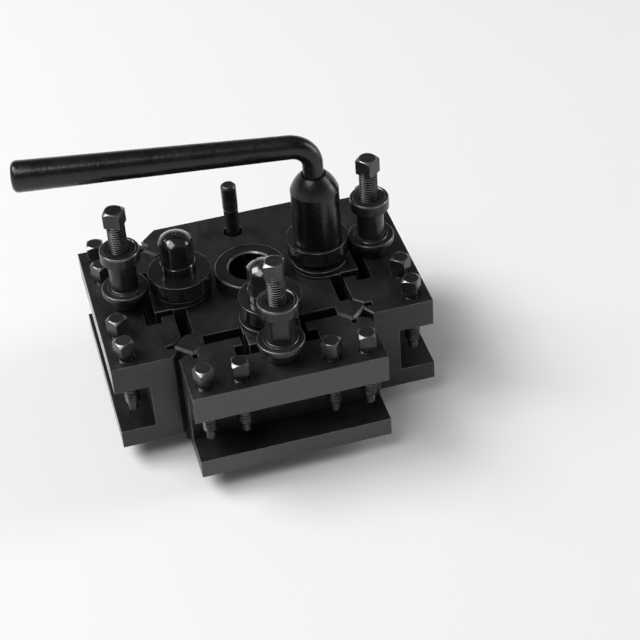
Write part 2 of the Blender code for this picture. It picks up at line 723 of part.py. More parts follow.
def add_post(finishes, parent):
    place("post_block", post_mesh(), finishes["black_oxide"], parent)
    place("centre_bush", bush_mesh(), finishes["bush_steel"], parent)
    pin = pin_mesh()
    place("index_pin", pin, finishes["screw_steel"], parent, (0.0, PIN_DISTANCE, 0.0))


def add_side(side, frame, meshes, finishes):
    cam_place = (CAM_DISTANCE, 0.0, 0.0)
    place(f"clamp_{side}", meshes["clamp"], finishes["black_oxide"], frame)
    place(f"cam_{side}", meshes["cam"], finishes["bush_steel"], frame, cam_place)
    place(f"cam_ring_{side}", meshes["cam_ring"], finishes["screw_steel"], frame, cam_place, 90.0)
    place(f"holder_{side}", meshes["holder"], finishes["worn_oxide"], frame)
    stud_place = (STUD_DISTANCE, 0.0, 0.0)
    place(f"height_nut_{side}", meshes["height_nut"], finishes["black_oxide"], frame, stud_place)
    stud = meshes["height_stud"]
    place(f"height_stud_{side}", stud, finishes["screw_steel"], frame, stud_place, STUD_HEAD_TURN)
    for number, (spread, turn) in enumerate(zip(SCREW_SPREADS, SCREW_HEAD_TURNS), start=1):
        location = (HOLDER_FRONT - SCREW_SETBACK, spread, 0.0)
        screw = f"tool_screw_{side}_{number}"
        place(screw, meshes["tool_screw"], finishes["screw_steel"], frame, location, turn)


def stand_on_origin(root):
    """Moves the whole assembly so that the bottom centre of its box is the world's origin."""
    bpy.context.view_layer.update()
    graph = bpy.context.evaluated_depsgraph_get()
    corners = []
    for piece in bpy.data.objects:
        if piece.type in ("MESH", "CURVE"):
            solid = piece.evaluated_get(graph)
            corners += [solid.matrix_world @ vertex.co for vertex in solid.to_mesh().vertices]
            solid.to_mesh_clear()
    middle = [(min(c[i] for c in corners) + max(c[i] for c in corners)) / 2 for i in (0, 1)]
    root.location = (-middle[0], -middle[1], -min(corner.z for corner in corners))


def main():
    clear_scene()
    finishes = make_finishes()
    root = add_empty("tool_post")
    add_post(finishes, root)
    meshes = {
        "clamp": clamp_mesh(),
        "cam": cam_mesh(),
        "cam_ring": ring_mesh(),
        "holder": holder_mesh(),
        "tool_screw": tool_screw_mesh(),
        "height_nut": height_nut_mesh(),
        "height_stud": height_stud_mesh(),
    }
    for side, angle in SIDES.items():
        frame = add_empty(f"{side}_frame", root, angle)
        add_side(side, frame, meshes, finishes)
        if side == WRENCH_SIDE:
            socket = socket_mesh()
            place("wrench_socket", socket, finishes["forged_black"], frame, (CAM_DISTANCE, 0.0, 0.0))
            add_handle(finishes["forged_black"], frame)
    stand_on_origin(root)


main()
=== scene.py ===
"""The looks of a quick change tool post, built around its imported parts.

Every visible part gets a detailed piece in its place: the milled post and holders with eased edges and
countersunk holes, the turned spindles, studs and nuts, real threads, and the bent wrench. Each piece is made
about its own axis, keeps those coordinates for its surface pattern, and is then put in place in its mesh.
Sizes are in metres and angles in degrees. On a side, X points outwards from the post's axis and Y across.
"""

from __future__ import annotations

import json
import logging
import math
from collections.abc import Callable, Sequence
from dataclasses import dataclass, field
from enum import Enum

import bmesh
import bpy
from mathutils import Matrix, Vector

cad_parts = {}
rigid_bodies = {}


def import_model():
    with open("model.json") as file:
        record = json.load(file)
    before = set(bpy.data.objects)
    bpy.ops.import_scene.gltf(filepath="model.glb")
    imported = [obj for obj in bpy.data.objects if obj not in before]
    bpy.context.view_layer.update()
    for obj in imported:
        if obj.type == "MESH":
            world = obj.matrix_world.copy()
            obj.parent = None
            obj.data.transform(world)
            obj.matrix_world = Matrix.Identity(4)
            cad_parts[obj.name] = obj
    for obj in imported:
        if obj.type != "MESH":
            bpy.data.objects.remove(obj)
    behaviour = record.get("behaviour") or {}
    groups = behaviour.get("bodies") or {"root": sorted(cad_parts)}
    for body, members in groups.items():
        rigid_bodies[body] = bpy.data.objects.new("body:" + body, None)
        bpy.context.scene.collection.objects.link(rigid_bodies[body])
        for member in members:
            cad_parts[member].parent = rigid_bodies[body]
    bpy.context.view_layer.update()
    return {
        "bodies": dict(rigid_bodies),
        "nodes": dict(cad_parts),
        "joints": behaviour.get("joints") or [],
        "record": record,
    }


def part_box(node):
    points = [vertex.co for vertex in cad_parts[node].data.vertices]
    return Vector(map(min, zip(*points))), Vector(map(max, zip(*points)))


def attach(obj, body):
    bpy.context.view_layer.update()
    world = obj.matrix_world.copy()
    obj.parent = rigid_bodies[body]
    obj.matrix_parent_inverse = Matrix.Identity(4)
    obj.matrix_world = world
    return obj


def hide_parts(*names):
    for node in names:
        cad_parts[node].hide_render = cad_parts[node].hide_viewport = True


LOG = logging.getLogger("tool_post")

Colour = tuple[float, float, float]
Point = tuple[float, float]
Sockets = Sequence[tuple[str, str]]

OWN_PLACE = "own_place"
WORN_EDGE = "worn_edge"
GROUND_FACE = "ground_face"

GAP = 0.0003  # between faces that touch
THREAD_GAP = 0.0004  # in front of a nut's or a clamp's end face
MERGE = 1e-7
THREAD_MERGE = 1e-6
FLAT_ENOUGH = 0.4  # faces that turn by less are joined into one
SMOOTH_BELOW = 18.0  # corners that turn by less are shaded smooth
FINE_ROUND = 96
LARGE_ROUND = 72
MEDIUM_ROUND = 48
SMALL_ROUND = 32
NECK_ROUND = 64
NUT_ROUND = 80
BAR_ROUND = 40
TINY_ROUND = 20
OVERCUT = 0.001  # how far a cutter or a bar runs past what it shapes

# How steep a countersink's faces are, as the upright part of their direction.
SUNK_SLOPES = (0.2, 0.95)

# One pitch of a thread's section, as shares of its depth and of its pitch.
THREAD_SECTION = ((0.0, 0.0), (0.0, 0.14), (1.0, 0.46), (1.0, 0.60), (0.0, 0.92), (0.0, 1.0))
THREAD_SPARE = 1.6  # pitches that run past each end
CREST_WEAR = 0.9


class Side(Enum):
    """The sides of the post that hold a tool holder, by the direction that each faces."""

    LEFT = 180.0
    FRONT = -90.0
    RIGHT = 0.0

    @property
    def label(self) -> str:
        """The side's name in the names of bodies and pieces."""
        return self.name.lower()


class Join(Enum):
    """How a second solid changes a first."""

    ADD = "UNION"
    CUT = "DIFFERENCE"
    KEEP_COMMON = "INTERSECT"


class Grain(Enum):
    """The fine relief that a maker's process leaves."""

    MILLED = "milled_grain"
    TURNED = "turned_grain"
    FORGED = "forged_grain"


# ---- solids ----


class Workpiece:
    """A solid in the making, whose faces remember how worn they are and whether they were ground."""

    def __init__(self, shape: bmesh.types.BMesh) -> None:
        """Takes over a bmesh and gives it the two face layers if it has none.

        Args:
            shape: The bmesh to work on.
        """
        self.shape = shape
        layers = shape.faces.layers.float
        for name in (WORN_EDGE, GROUND_FACE):
            if layers.get(name) is None:
                layers.new(name)
        self.worn = layers.get(WORN_EDGE)
        self.ground = layers.get(GROUND_FACE)

    @classmethod
    def prism(cls, outline: Sequence[Point], foot: float, top: float) -> Workpiece:
        """Extrudes a plan between two heights.

        Args:
            outline: The plan's corners.
            foot: The lower height.
            top: The upper height.

        Returns:
            The closed solid.
        """
        piece = cls(bmesh.new())
        shape = piece.shape
        plan = shape.faces.new([shape.verts.new((x, y, foot)) for x, y in outline])
        raised = bmesh.ops.extrude_face_region(shape, geom=[plan])["geom"]
        verts = [item for item in raised if isinstance(item, bmesh.types.BMVert)]
        bmesh.ops.translate(shape, verts=verts, vec=(0.0, 0.0, top - foot))
        bmesh.ops.recalc_face_normals(shape, faces=shape.faces)
        return piece

    @classmethod
    def turned(
        cls, profile: Sequence[Point], rounds: int = LARGE_ROUND, centre: Point = (0.0, 0.0)
    ) -> Workpiece:
        """Spins a profile of radii and heights round the upright axis.

        Args:
            profile: Radius and height points; open ends are closed on the axis.
            rounds: How many steps make the full turn.
            centre: Where the axis stands.

        Returns:
            The closed solid.
        """
        piece = cls(bmesh.new())
        shape = piece.shape
        points = list(profile)
        if points[0][0] > 0.0 and points[-1][0] > 0.0 and points[0] != points[-1]:
            points = [(0.0, points[0][1]), *points, (0.0, points[-1][1])]
        verts = [shape.verts.new((radius, 0.0, height)) for radius, height in points]
        edges = [shape.edges.new(pair) for pair in zip(verts, verts[1:])]
        bmesh.ops.spin(
            shape,
            geom=verts + edges,
            axis=(0.0, 0.0, 1.0),
            cent=(0.0, 0.0, 0.0),
            angle=math.tau,
            steps=rounds,
            use_merge=True,
        )
        bmesh.ops.remove_doubles(shape, verts=shape.verts, dist=MERGE)
        bmesh.ops.translate(shape, verts=shape.verts, vec=(*centre, 0.0))
        bmesh.ops.recalc_face_normals(shape, faces=shape.faces)
        return piece

    @classmethod
    def rod(
        cls, radius: float, foot: float, top: float, rounds: int = MEDIUM_ROUND, centre: Point = (0.0, 0.0)
    ) -> Workpiece:
        """A plain round bar between two heights."""
        return cls.turned([(radius, top), (radius, foot)], rounds, centre)

    @classmethod
    def block(cls, low: Sequence[float], high: Sequence[float]) -> Workpiece:
        """A box between two corners.

        Args:
            low: The corner with the least coordinates.
            high: The corner with the greatest coordinates.

        Returns:
            The box.
        """
        piece = cls(bmesh.new())
        made = bmesh.ops.create_cube(piece.shape, size=1.0)["verts"]
        size = Vector(high) - Vector(low)
        bmesh.ops.scale(piece.shape, verts=made, vec=size)
        bmesh.ops.translate(piece.shape, verts=made, vec=Vector(low) + size / 2)
        return piece

    @classmethod
    def drill(cls, radius: float, foot: float, mouth: float, sink: float, centre: Point) -> Workpiece:
        """A cutter for a round hole whose mouth is countersunk, with the chamfer marked as worn.

        Args:
            radius: The hole's radius.
            foot: The hole's lower end.
            mouth: The height of the face that it opens on.
            sink: The width of the countersink.
            centre: The hole's axis.

        Returns:
            The cutter.
        """
        rim = radius + sink
        profile = [(rim, mouth + sink), (rim, mouth), (radius, mouth - sink), (radius, foot)]
        cutter = cls.turned(profile, SMALL_ROUND, centre)
        for face in cutter.shape.faces:
            if SUNK_SLOPES[0] < abs(face.normal.z) < SUNK_SLOPES[1]:
                face[cutter.worn] = 1.0
        return cutter

    def ease(
        self,
        width: float,
        steps: int = 2,
        wear: float = 1.0,
        sharper_than: float = 32.0,
        where: Callable[[bmesh.types.BMEdge], bool] | None = None,
    ) -> Workpiece:
        """Takes the sharpness off the outer corners and marks what it leaves as worn.

        Args:
            width: How far each side of the corner is cut back.
            steps: How many faces round the corner.
            wear: How worn the new faces are, from 0 to 1.
            sharper_than: Only corners that turn by more than this are eased.
            where: A test for the edges to take, or None for all.

        Returns:
            The same workpiece.
        """
        limit = math.radians(sharper_than)
        chosen = [
            edge
            for edge in self.shape.edges
            if len(edge.link_faces) == 2
            and edge.is_convex
            and edge.calc_face_angle(0.0) > limit
            and (where is None or where(edge))
        ]
        made = bmesh.ops.bevel(
            self.shape,
            geom=chosen,
            offset=width,
            offset_type="OFFSET",
            segments=steps,
            profile=0.5,
            affect="EDGES",
            clamp_overlap=True,
            loop_slide=True,
            material=-1,
        )
        for face in made["faces"]:
            face[self.worn] = wear
        return self

    def tidy(self) -> Workpiece:
        """Joins the flat faces that a cut has split, so that the corners can be eased.

        Returns:
            This workpiece.
        """
        bmesh.ops.dissolve_limit(
            self.shape,
            angle_limit=math.radians(FLAT_ENOUGH),
            verts=self.shape.verts,
            edges=self.shape.edges,
            use_dissolve_boundaries=False,
        )
        return self

    def moved(self, offset: Sequence[float] = (0.0, 0.0, 0.0), turn: float = 0.0) -> Workpiece:
        """Turns the workpiece about the upright axis and then shifts it.

        Args:
            offset: How far it then shifts.
            turn: How far it turns, in degrees.

        Returns:
            This workpiece.
        """
        matrix = Matrix.Translation(offset) @ Matrix.Rotation(math.radians(turn), 4, "Z")
        bmesh.ops.transform(self.shape, matrix=matrix, verts=self.shape.verts)
        return self

    def joined(self, *steps: tuple[Join, Workpiece]) -> Workpiece:
        """Combines the workpiece with others, one after another, and uses them all up.

        Args:
            steps: What to do and with which solid.

        Returns:
            The new workpiece.
        """
        body = bpy.data.objects.new("body", self.to_mesh("body"))
        helpers = [body]
        bpy.context.collection.objects.link(body)
        for how, other in steps:
            tool = bpy.data.objects.new("tool", other.to_mesh("tool"))
            bpy.context.collection.objects.link(tool)
            modifier = body.modifiers.new("join", "BOOLEAN")
            modifier.operation = how.value
            modifier.solver = "EXACT"
            modifier.object = tool
            helpers.append(tool)
        graph = bpy.context.evaluated_depsgraph_get()
        result = bpy.data.meshes.new_from_object(body.evaluated_get(graph))
        shape = bmesh.new()
        shape.from_mesh(result)
        bpy.data.meshes.remove(result)
        for helper in helpers:
            mesh = helper.data
            bpy.data.objects.remove(helper, do_unlink=True)
            bpy.data.meshes.remove(mesh)
        bmesh.ops.remove_doubles(shape, verts=shape.verts, dist=MERGE)
        bmesh.ops.dissolve_degenerate(shape, dist=MERGE, edges=shape.edges)
        return Workpiece(shape)

    def to_mesh(self, name: str) -> bpy.types.Mesh:
        """Ends the bmesh and gives back its mesh.

        Args:
            name: The mesh's name.

        Returns:
            The mesh.
        """
        mesh = bpy.data.meshes.new(name)
        self.shape.to_mesh(mesh)
        self.shape.free()
        return mesh


def arc(centre: Point, radius: float, start: float, end: float, steps: int) -> list[Point]:
    """Points along an arc.

    Args:
        centre: The arc's centre.
        radius: Its radius.
        start: The first angle.
        end: The last angle.
        steps: How many chords.

    Returns:
        The points from start to end.
    """
    angles = [math.radians(start + (end - start) * step / steps) for step in range(steps + 1)]
    return [(centre[0] + radius * math.cos(a), centre[1] + radius * math.sin(a)) for a in angles]


def regular_plan(corners: int, across_flats: float, turn: float = 0.0) -> list[Point]:
    """The plan of a hexagon or square head, by the distance across its flats."""
    radius = across_flats / 2 / math.cos(math.pi / corners)
    return arc((0.0, 0.0), radius, turn, turn + 360.0, corners)[:-1]


@dataclass(frozen=True)
class Thread:
    """An outside thread on a bar."""

    radius: float
    pitch: float
    depth: float
    rounds: int = 28

    def solid(self, foot: float, top: float) -> Workpiece:
        """Sweeps one pitch of the profile up a helix and closes its ends flat, a little beyond both heights.

        Args:
            foot: The lowest height that needs a whole thread.
            top: The highest height that needs one.

        Returns:
            The closed threaded bar.
        """
        piece = Workpiece(bmesh.new())
        shape = piece.shape
        spare = THREAD_SPARE * self.pitch
        start = foot - spare
        turns = math.ceil((top + spare - start) / self.pitch)
        root = self.radius - self.depth
        verts = [
            shape.verts.new((self.radius if rise else root, 0.0, start + share * self.pitch))
            for rise, share in THREAD_SECTION
        ]
        edges = [shape.edges.new(pair) for pair in zip(verts, verts[1:])]
        bmesh.ops.spin(
            shape,
            geom=verts + edges,
            axis=(0.0, 0.0, 1.0),
            cent=(0.0, 0.0, 0.0),
            dvec=(0.0, 0.0, self.pitch / self.rounds),
            angle=math.tau * turns,
            steps=self.rounds * turns,
        )
        bmesh.ops.remove_doubles(shape, verts=shape.verts, dist=THREAD_MERGE)
        for face in shape.faces:
            if face.calc_center_median().xy.length > self.radius - self.depth / 5:
                face[piece.worn] = CREST_WEAR
        middle = (foot + top) / 2
        rim = [edge for edge in shape.edges if edge.is_boundary]
        grown = bmesh.ops.extrude_edge_only(shape, edges=rim)["geom"]
        ends = [item for item in grown if isinstance(item, bmesh.types.BMVert)]
        for vert in ends:
            flat = vert.co.xy.normalized() * root
            height = start - self.pitch if vert.co.z < middle else start + (turns + 2) * self.pitch
            vert.co = (flat.x, flat.y, height)
        bmesh.ops.remove_doubles(shape, verts=ends, dist=THREAD_MERGE)
        bmesh.ops.dissolve_degenerate(shape, dist=THREAD_MERGE, edges=shape.edges)
        open_edges = [edge for edge in shape.edges if edge.is_boundary]
        bmesh.ops.edgeloop_fill(shape, edges=open_edges)
        bmesh.ops.recalc_face_normals(shape, faces=shape.faces)
        return piece


# ---- node trees ----


class Nodes:
    """Puts nodes into one tree and joins them."""

    def __init__(self, tree: bpy.types.NodeTree) -> None:
        """Starts on a tree."""
        self.tree = tree

    def add(self, kind: str, **settings: object) -> bpy.types.Node:
        """Adds a node with its settings.

        Args:
            kind: The node's type.
            settings: Its properties by name.

        Returns:
            The node.
        """
        node = self.tree.nodes.new(kind)
        for name, value in settings.items():
            setattr(node, name, value)
        node.location = (200.0 * len(self.tree.nodes), 0.0)
        return node

    def feed(self, socket: bpy.types.NodeSocket, value: object) -> None:
        """Links another socket into this one, or sets its constant.

        Args:
            socket: The input to set.
            value: The value, or a socket that gives it.
        """
        if isinstance(value, bpy.types.NodeSocket):
            self.tree.links.new(value, socket)
        else:
            socket.default_value = value

    def attribute(self, name: str) -> bpy.types.Node:
        """The piece's own stored attribute."""
        return self.add("ShaderNodeAttribute", attribute_type="GEOMETRY", attribute_name=name)

    def maths(
        self, operation: str, first: object, second: object = 0.0, clamp: bool = False
    ) -> bpy.types.NodeSocket:
        """One step of arithmetic.

        Args:
            operation: Blender's name for it.
            first: The first value or socket.
            second: The second value or socket.
            clamp: Whether the result stays within 0 and 1.

        Returns:
            The result's socket.
        """
        node = self.add("ShaderNodeMath", operation=operation, use_clamp=clamp)
        self.feed(node.inputs[0], first)
        self.feed(node.inputs[1], second)
        return node.outputs[0]

    def scaled(self, place: bpy.types.NodeSocket, scale: object) -> bpy.types.NodeSocket:
        """A position multiplied along its three axes.

        Args:
            place: The position.
            scale: The factor.

        Returns:
            The socket with the result.
        """
        node = self.add("ShaderNodeVectorMath", operation="MULTIPLY")
        self.feed(node.inputs[0], place)
        self.feed(node.inputs[1], scale)
        return node.outputs["Vector"]

    def noise(
        self, place: object, scale: object, detail: float = 2.0, warp: float = 0.0
    ) -> bpy.types.NodeSocket:
        """Cloudy noise from 0 to 1 at a position.

        Args:
            place: The position.
            scale: The factor.
            detail: How many finer layers it has.
            warp: How far it is distorted.

        Returns:
            The socket with the result.
        """
        node = self.add("ShaderNodeTexNoise")
        self.feed(node.inputs["Vector"], place)
        self.feed(node.inputs["Scale"], scale)
        self.feed(node.inputs["Detail"], detail)
        self.feed(node.inputs["Distortion"], warp)
        return node.outputs["Fac"]

    def spread(
        self, value: object, low: float, high: float, to_low: float = 0.0, to_high: float = 1.0
    ) -> bpy.types.NodeSocket:
        """Maps one range of values smoothly onto another.

        Args:
            value: The value, or a socket that gives it.
            low: The lower end of the range.
            high: The upper end of the range.
            to_low: What the lower end becomes.
            to_high: What the upper end becomes.

        Returns:
            The socket with the result.
        """
        node = self.add("ShaderNodeMapRange", interpolation_type="SMOOTHSTEP")
        limits = {"From Min": low, "From Max": high, "To Min": to_low, "To Max": to_high}
        for name, number in limits.items():
            node.inputs[name].default_value = number
        self.feed(node.inputs["Value"], value)
        return node.outputs["Result"]

    def blend(self, share: object, first: object, second: object) -> bpy.types.NodeSocket:
        """A colour between two others.

        Args:
            share: How much of the second colour there is.
            first: The first colour.
            second: The second colour.

        Returns:
            The socket with the result.
        """
        node = self.add("ShaderNodeMix", data_type="RGBA")
        for index, value in ((0, share), (6, first), (7, second)):
            self.feed(node.inputs[index], (*value, 1.0) if isinstance(value, tuple) else value)
        return node.outputs[2]

    def group(self, tree: bpy.types.NodeTree, **values: object) -> bpy.types.Node:
        """Places a node group with its own values, by input name with underscores for spaces.

        Args:
            tree: The node group.
            values: Its inputs by name.

        Returns:
            The node.
        """
        node = self.add("ShaderNodeGroup", node_tree=tree)
        for name, value in values.items():
            value = (*value, 1.0) if isinstance(value, tuple) else value
            self.feed(node.inputs[name.replace("_", " ")], value)
        return node


class SharedEffects:
    """The node groups that several finishes use, each made once."""

    GRAIN_INPUTS = (("Scale", "Float"),)
    GRAIN_OUTPUTS = (("Height", "Float"), ("Streak", "Float"))

    def __init__(self) -> None:
        """Makes every group."""
        self.grains = {
            Grain.MILLED: self._milled(),
            Grain.TURNED: self._turned(),
            Grain.FORGED: self._forged(),
        }
        self.wear = self._wear()
        self.cloud = self._cloud()
        self.dust = self._dust()
        self.scratches = self._scratches()

    @staticmethod
    def _start(name: str, inputs: Sockets, outputs: Sockets) -> tuple[Nodes, bpy.types.Node, bpy.types.Node]:
        """Begins a group.

        Args:
            name: The group's name.
            inputs: Each input's name and kind, Float or Color.
            outputs: Each output's name and kind.

        Returns:
            The tree's nodes, its input node and its output node.
        """
        tree = bpy.data.node_groups.new(name, "ShaderNodeTree")
        for way, sockets in (("INPUT", inputs), ("OUTPUT", outputs)):
            for label, kind in sockets:
                tree.interface.new_socket(name=label, in_out=way, socket_type=f"NodeSocket{kind}")
        nodes = Nodes(tree)
        return nodes, nodes.add("NodeGroupInput"), nodes.add("NodeGroupOutput")

    def _milled(self) -> bpy.types.NodeTree:
        """Fine straight cutter lines with faint sweeping arcs across them.

        Returns:
            The node group.
        """
        nodes, given, result = self._start("milled_grain", self.GRAIN_INPUTS, self.GRAIN_OUTPUTS)
        own = nodes.attribute(OWN_PLACE).outputs["Vector"]
        lines = nodes.noise(nodes.scaled(own, (2.6, 0.12, 2.6)), given.outputs["Scale"], 3.0, 0.2)
        arcs = nodes.add("ShaderNodeTexWave", wave_type="RINGS", rings_direction="Z", wave_profile="SIN")
        nodes.feed(arcs.inputs["Vector"], own)
        for name, value in (("Scale", 260.0), ("Distortion", 3.0), ("Detail", 2.0), ("Detail Scale", 0.6)):
            arcs.inputs[name].default_value = value
        faint = nodes.maths("MULTIPLY", arcs.outputs["Fac"], 0.35)
        nodes.feed(result.inputs["Height"], nodes.maths("ADD", lines, faint))
        nodes.feed(result.inputs["Streak"], lines)
        return nodes.tree

    def _turned(self) -> bpy.types.NodeTree:
        """Rings round the piece's own axis, on its ends as on its side.

        Returns:
            The node group.
        """
        nodes, given, result = self._start("turned_grain", self.GRAIN_INPUTS, self.GRAIN_OUTPUTS)
        own = nodes.attribute(OWN_PLACE).outputs["Vector"]
        across = nodes.add("ShaderNodeVectorMath", operation="LENGTH")
        nodes.feed(across.inputs[0], nodes.scaled(own, (1.0, 1.0, 0.0)))
        upright = nodes.add("ShaderNodeSeparateXYZ")
        nodes.feed(upright.inputs[0], own)
        place = nodes.add("ShaderNodeCombineXYZ")
        nodes.feed(place.inputs[0], across.outputs["Value"])
        nodes.feed(place.inputs[1], upright.outputs["Z"])
        nodes.feed(place.inputs[2], nodes.maths("MULTIPLY", nodes.noise(own, 60.0), 0.002))
        rings = nodes.noise(place.outputs[0], given.outputs["Scale"], 3.0)
        nodes.feed(result.inputs["Height"], rings)
        nodes.feed(result.inputs["Streak"], rings)
        return nodes.tree

    def _forged(self) -> bpy.types.NodeTree:
        """A fine pebbled skin with scattered shallow pits.

        Returns:
            The node group.
        """
        nodes, given, result = self._start("forged_grain", self.GRAIN_INPUTS, self.GRAIN_OUTPUTS)
        own = nodes.attribute(OWN_PLACE).outputs["Vector"]
        skin = nodes.noise(own, given.outputs["Scale"], 4.0)
        pits = nodes.add("ShaderNodeTexVoronoi", feature="SMOOTH_F1")
        nodes.feed(pits.inputs["Vector"], own)
        nodes.feed(pits.inputs["Scale"], nodes.maths("MULTIPLY", given.outputs["Scale"], 0.45))
        sunk = nodes.spread(pits.outputs["Distance"], 0.05, 0.45)
        pebbles = nodes.maths("MULTIPLY", skin, 0.7)
        dents = nodes.maths("MULTIPLY", sunk, 0.3)
        nodes.feed(result.inputs["Height"], nodes.maths("ADD", pebbles, dents))
        nodes.feed(result.inputs["Streak"], skin)
        return nodes.tree

    def _wear(self) -> bpy.types.NodeTree:
        """Bare metal that shows in patches along the eased corners.

        Returns:
            The node group.
        """
        nodes, given, result = self._start("edge_wear", [("Amount", "Float")], [("Mask", "Float")])
        own = nodes.attribute(OWN_PLACE).outputs["Vector"]
        patchy = nodes.spread(nodes.noise(own, 210.0, 3.0), 0.28, 0.66, 0.25, 1.0)
        corner = nodes.maths("MULTIPLY", nodes.attribute(WORN_EDGE).outputs["Fac"], patchy)
        amount = nodes.maths("MULTIPLY", corner, given.outputs["Amount"], clamp=True)
        nodes.feed(result.inputs["Mask"], amount)
        return nodes.tree

    def _cloud(self) -> bpy.types.NodeTree:
        """The uneven depth of an oxide finish, and the oily smears on it.

        Returns:
            The node group.
        """
        kinds = [("Deep", "Color"), ("Thin", "Color"), ("Scale", "Float")]
        nodes, given, result = self._start("oxide_cloud", kinds, [("Color", "Color"), ("Smear", "Float")])
        place = nodes.add("ShaderNodeTexCoord").outputs["Object"]
        depth = nodes.spread(nodes.noise(place, given.outputs["Scale"], 4.0, 0.6), 0.34, 0.68)
        nodes.feed(result.inputs["Color"], nodes.blend(depth, given.outputs["Deep"], given.outputs["Thin"]))
        finer = nodes.maths("MULTIPLY", given.outputs["Scale"], 2.4)
        smear = nodes.noise(nodes.scaled(place, (1.0, 0.45, 1.0)), finer, 3.0, 1.4)
        nodes.feed(result.inputs["Smear"], nodes.spread(smear, 0.3, 0.7))
        return nodes.tree

    def _scratches(self) -> bpy.types.NodeTree:
        """Thin, curving handling marks in scattered patches.

        Returns:
            The node group.
        """
        nodes, given, result = self._start("handling_marks", [("Amount", "Float")], [("Mask", "Float")])
        place = nodes.add("ShaderNodeTexCoord").outputs["Object"]
        curved = nodes.maths("ABSOLUTE", nodes.maths("SUBTRACT", nodes.noise(place, 17.0, 1.0, 0.4), 0.5))
        line = nodes.spread(curved, 0.0, 0.0022, 1.0, 0.0)
        patch = nodes.spread(nodes.noise(place, 46.0, 2.0), 0.50, 0.64)
        mark = nodes.maths("MULTIPLY", line, patch)
        nodes.feed(result.inputs["Mask"], nodes.maths("MULTIPLY", mark, given.outputs["Amount"], clamp=True))
        return nodes.tree

    def _dust(self) -> bpy.types.NodeTree:
        """Sparse pale specks on what faces up.

        Returns:
            The node group.
        """
        nodes, given, result = self._start("settled_dust", [("Amount", "Float")], [("Mask", "Float")])
        place = nodes.add("ShaderNodeTexCoord").outputs["Object"]
        upright = nodes.add("ShaderNodeSeparateXYZ")
        nodes.feed(upright.inputs[0], nodes.add("ShaderNodeNewGeometry").outputs["Normal"])
        facing = nodes.spread(upright.outputs["Z"], 0.2, 0.9)
        specks = nodes.spread(nodes.noise(place, 1500.0, 1.0), 0.70, 0.80)
        veil = nodes.maths("MULTIPLY", nodes.spread(nodes.noise(place, 40.0, 3.0), 0.4, 0.75), 0.10)
        both = nodes.maths("MULTIPLY", nodes.maths("ADD", specks, veil), facing)
        nodes.feed(result.inputs["Mask"], nodes.maths("MULTIPLY", both, given.outputs["Amount"], clamp=True))
        return nodes.tree


DUST_COLOUR: Colour = (0.30, 0.29, 0.28)
DUST_ROUGHER = 0.3
WEAR_SMOOTHER = 0.08
COAT_ROUGHNESS = 0.09


@dataclass(frozen=True)
class Finish:
    """A finish on metal, named for the slot that it fills."""

    slot: str
    grain: Grain
    deep: Colour
    thin: Colour
    worn: Colour
    roughness: float
    swing: float
    metallic: float
    wear: float
    relief: float
    grain_scale: float
    cloud_scale: float = 28.0
    dust: float = 0.35
    marks: float = 0.06
    ground: Colour | None = None
    ground_smoother: float = 0.19
    coat: float = 0.0
    specular: float = 0.62
    bump_depth: float = 0.00006

    def material(self, effects: SharedEffects) -> bpy.types.Material:
        """Makes the material.

        Args:
            effects: The shared node groups.

        Returns:
            The material, named for the slot.
        """
        material = bpy.data.materials.new(self.slot)
        material.use_nodes = True
        nodes = Nodes(material.node_tree)
        shader = material.node_tree.nodes["Principled BSDF"]
        cloud = nodes.group(effects.cloud, Deep=self.deep, Thin=self.thin, Scale=self.cloud_scale)
        grain = nodes.group(effects.grains[self.grain], Scale=self.grain_scale)
        wear = nodes.group(effects.wear, Amount=self.wear).outputs["Mask"]
        dust = nodes.group(effects.dust, Amount=self.dust).outputs["Mask"]
        streak = nodes.spread(grain.outputs["Streak"], 0.28, 0.72, 0.78, 1.22)
        shade = nodes.add("ShaderNodeVectorMath", operation="SCALE")
        nodes.feed(shade.inputs[0], cloud.outputs["Color"])
        nodes.feed(shade.inputs["Scale"], streak)
        colour = shade.outputs[0]
        ground = nodes.attribute(GROUND_FACE).outputs["Fac"]
        if self.ground is not None:
            colour = nodes.blend(ground, colour, self.ground)
        marks = nodes.group(effects.scratches, Amount=self.marks).outputs["Mask"]
        colour = nodes.blend(nodes.maths("MAXIMUM", wear, marks), colour, self.worn)
        nodes.feed(shader.inputs["Base Color"], nodes.blend(dust, colour, DUST_COLOUR))
        swing = nodes.maths("MULTIPLY", cloud.outputs["Smear"], self.swing)
        rough = nodes.maths("ADD", swing, self.roughness - self.swing / 2)
        rough = nodes.maths("SUBTRACT", rough, nodes.maths("MULTIPLY", wear, WEAR_SMOOTHER))
        rough = nodes.maths("SUBTRACT", rough, nodes.maths("MULTIPLY", ground, self.ground_smoother))
        dusty = nodes.maths("MULTIPLY", dust, DUST_ROUGHER)
        nodes.feed(shader.inputs["Roughness"], nodes.maths("ADD", rough, dusty, clamp=True))
        bare = nodes.maths("MULTIPLY", wear, 1.0 - self.metallic)
        nodes.feed(shader.inputs["Metallic"], nodes.maths("ADD", bare, self.metallic, clamp=True))
        shader.inputs["Specular IOR Level"].default_value = self.specular
        shader.inputs["Coat Weight"].default_value = self.coat
        shader.inputs["Coat Roughness"].default_value = COAT_ROUGHNESS
        bump = nodes.add("ShaderNodeBump")
        bump.inputs["Strength"].default_value = self.relief
        bump.inputs["Distance"].default_value = self.bump_depth
        nodes.feed(bump.inputs["Height"], grain.outputs["Height"])
        nodes.feed(shader.inputs["Normal"], bump.outputs["Normal"])
        return material


BARE_STEEL: Colour = (0.34, 0.34, 0.335)

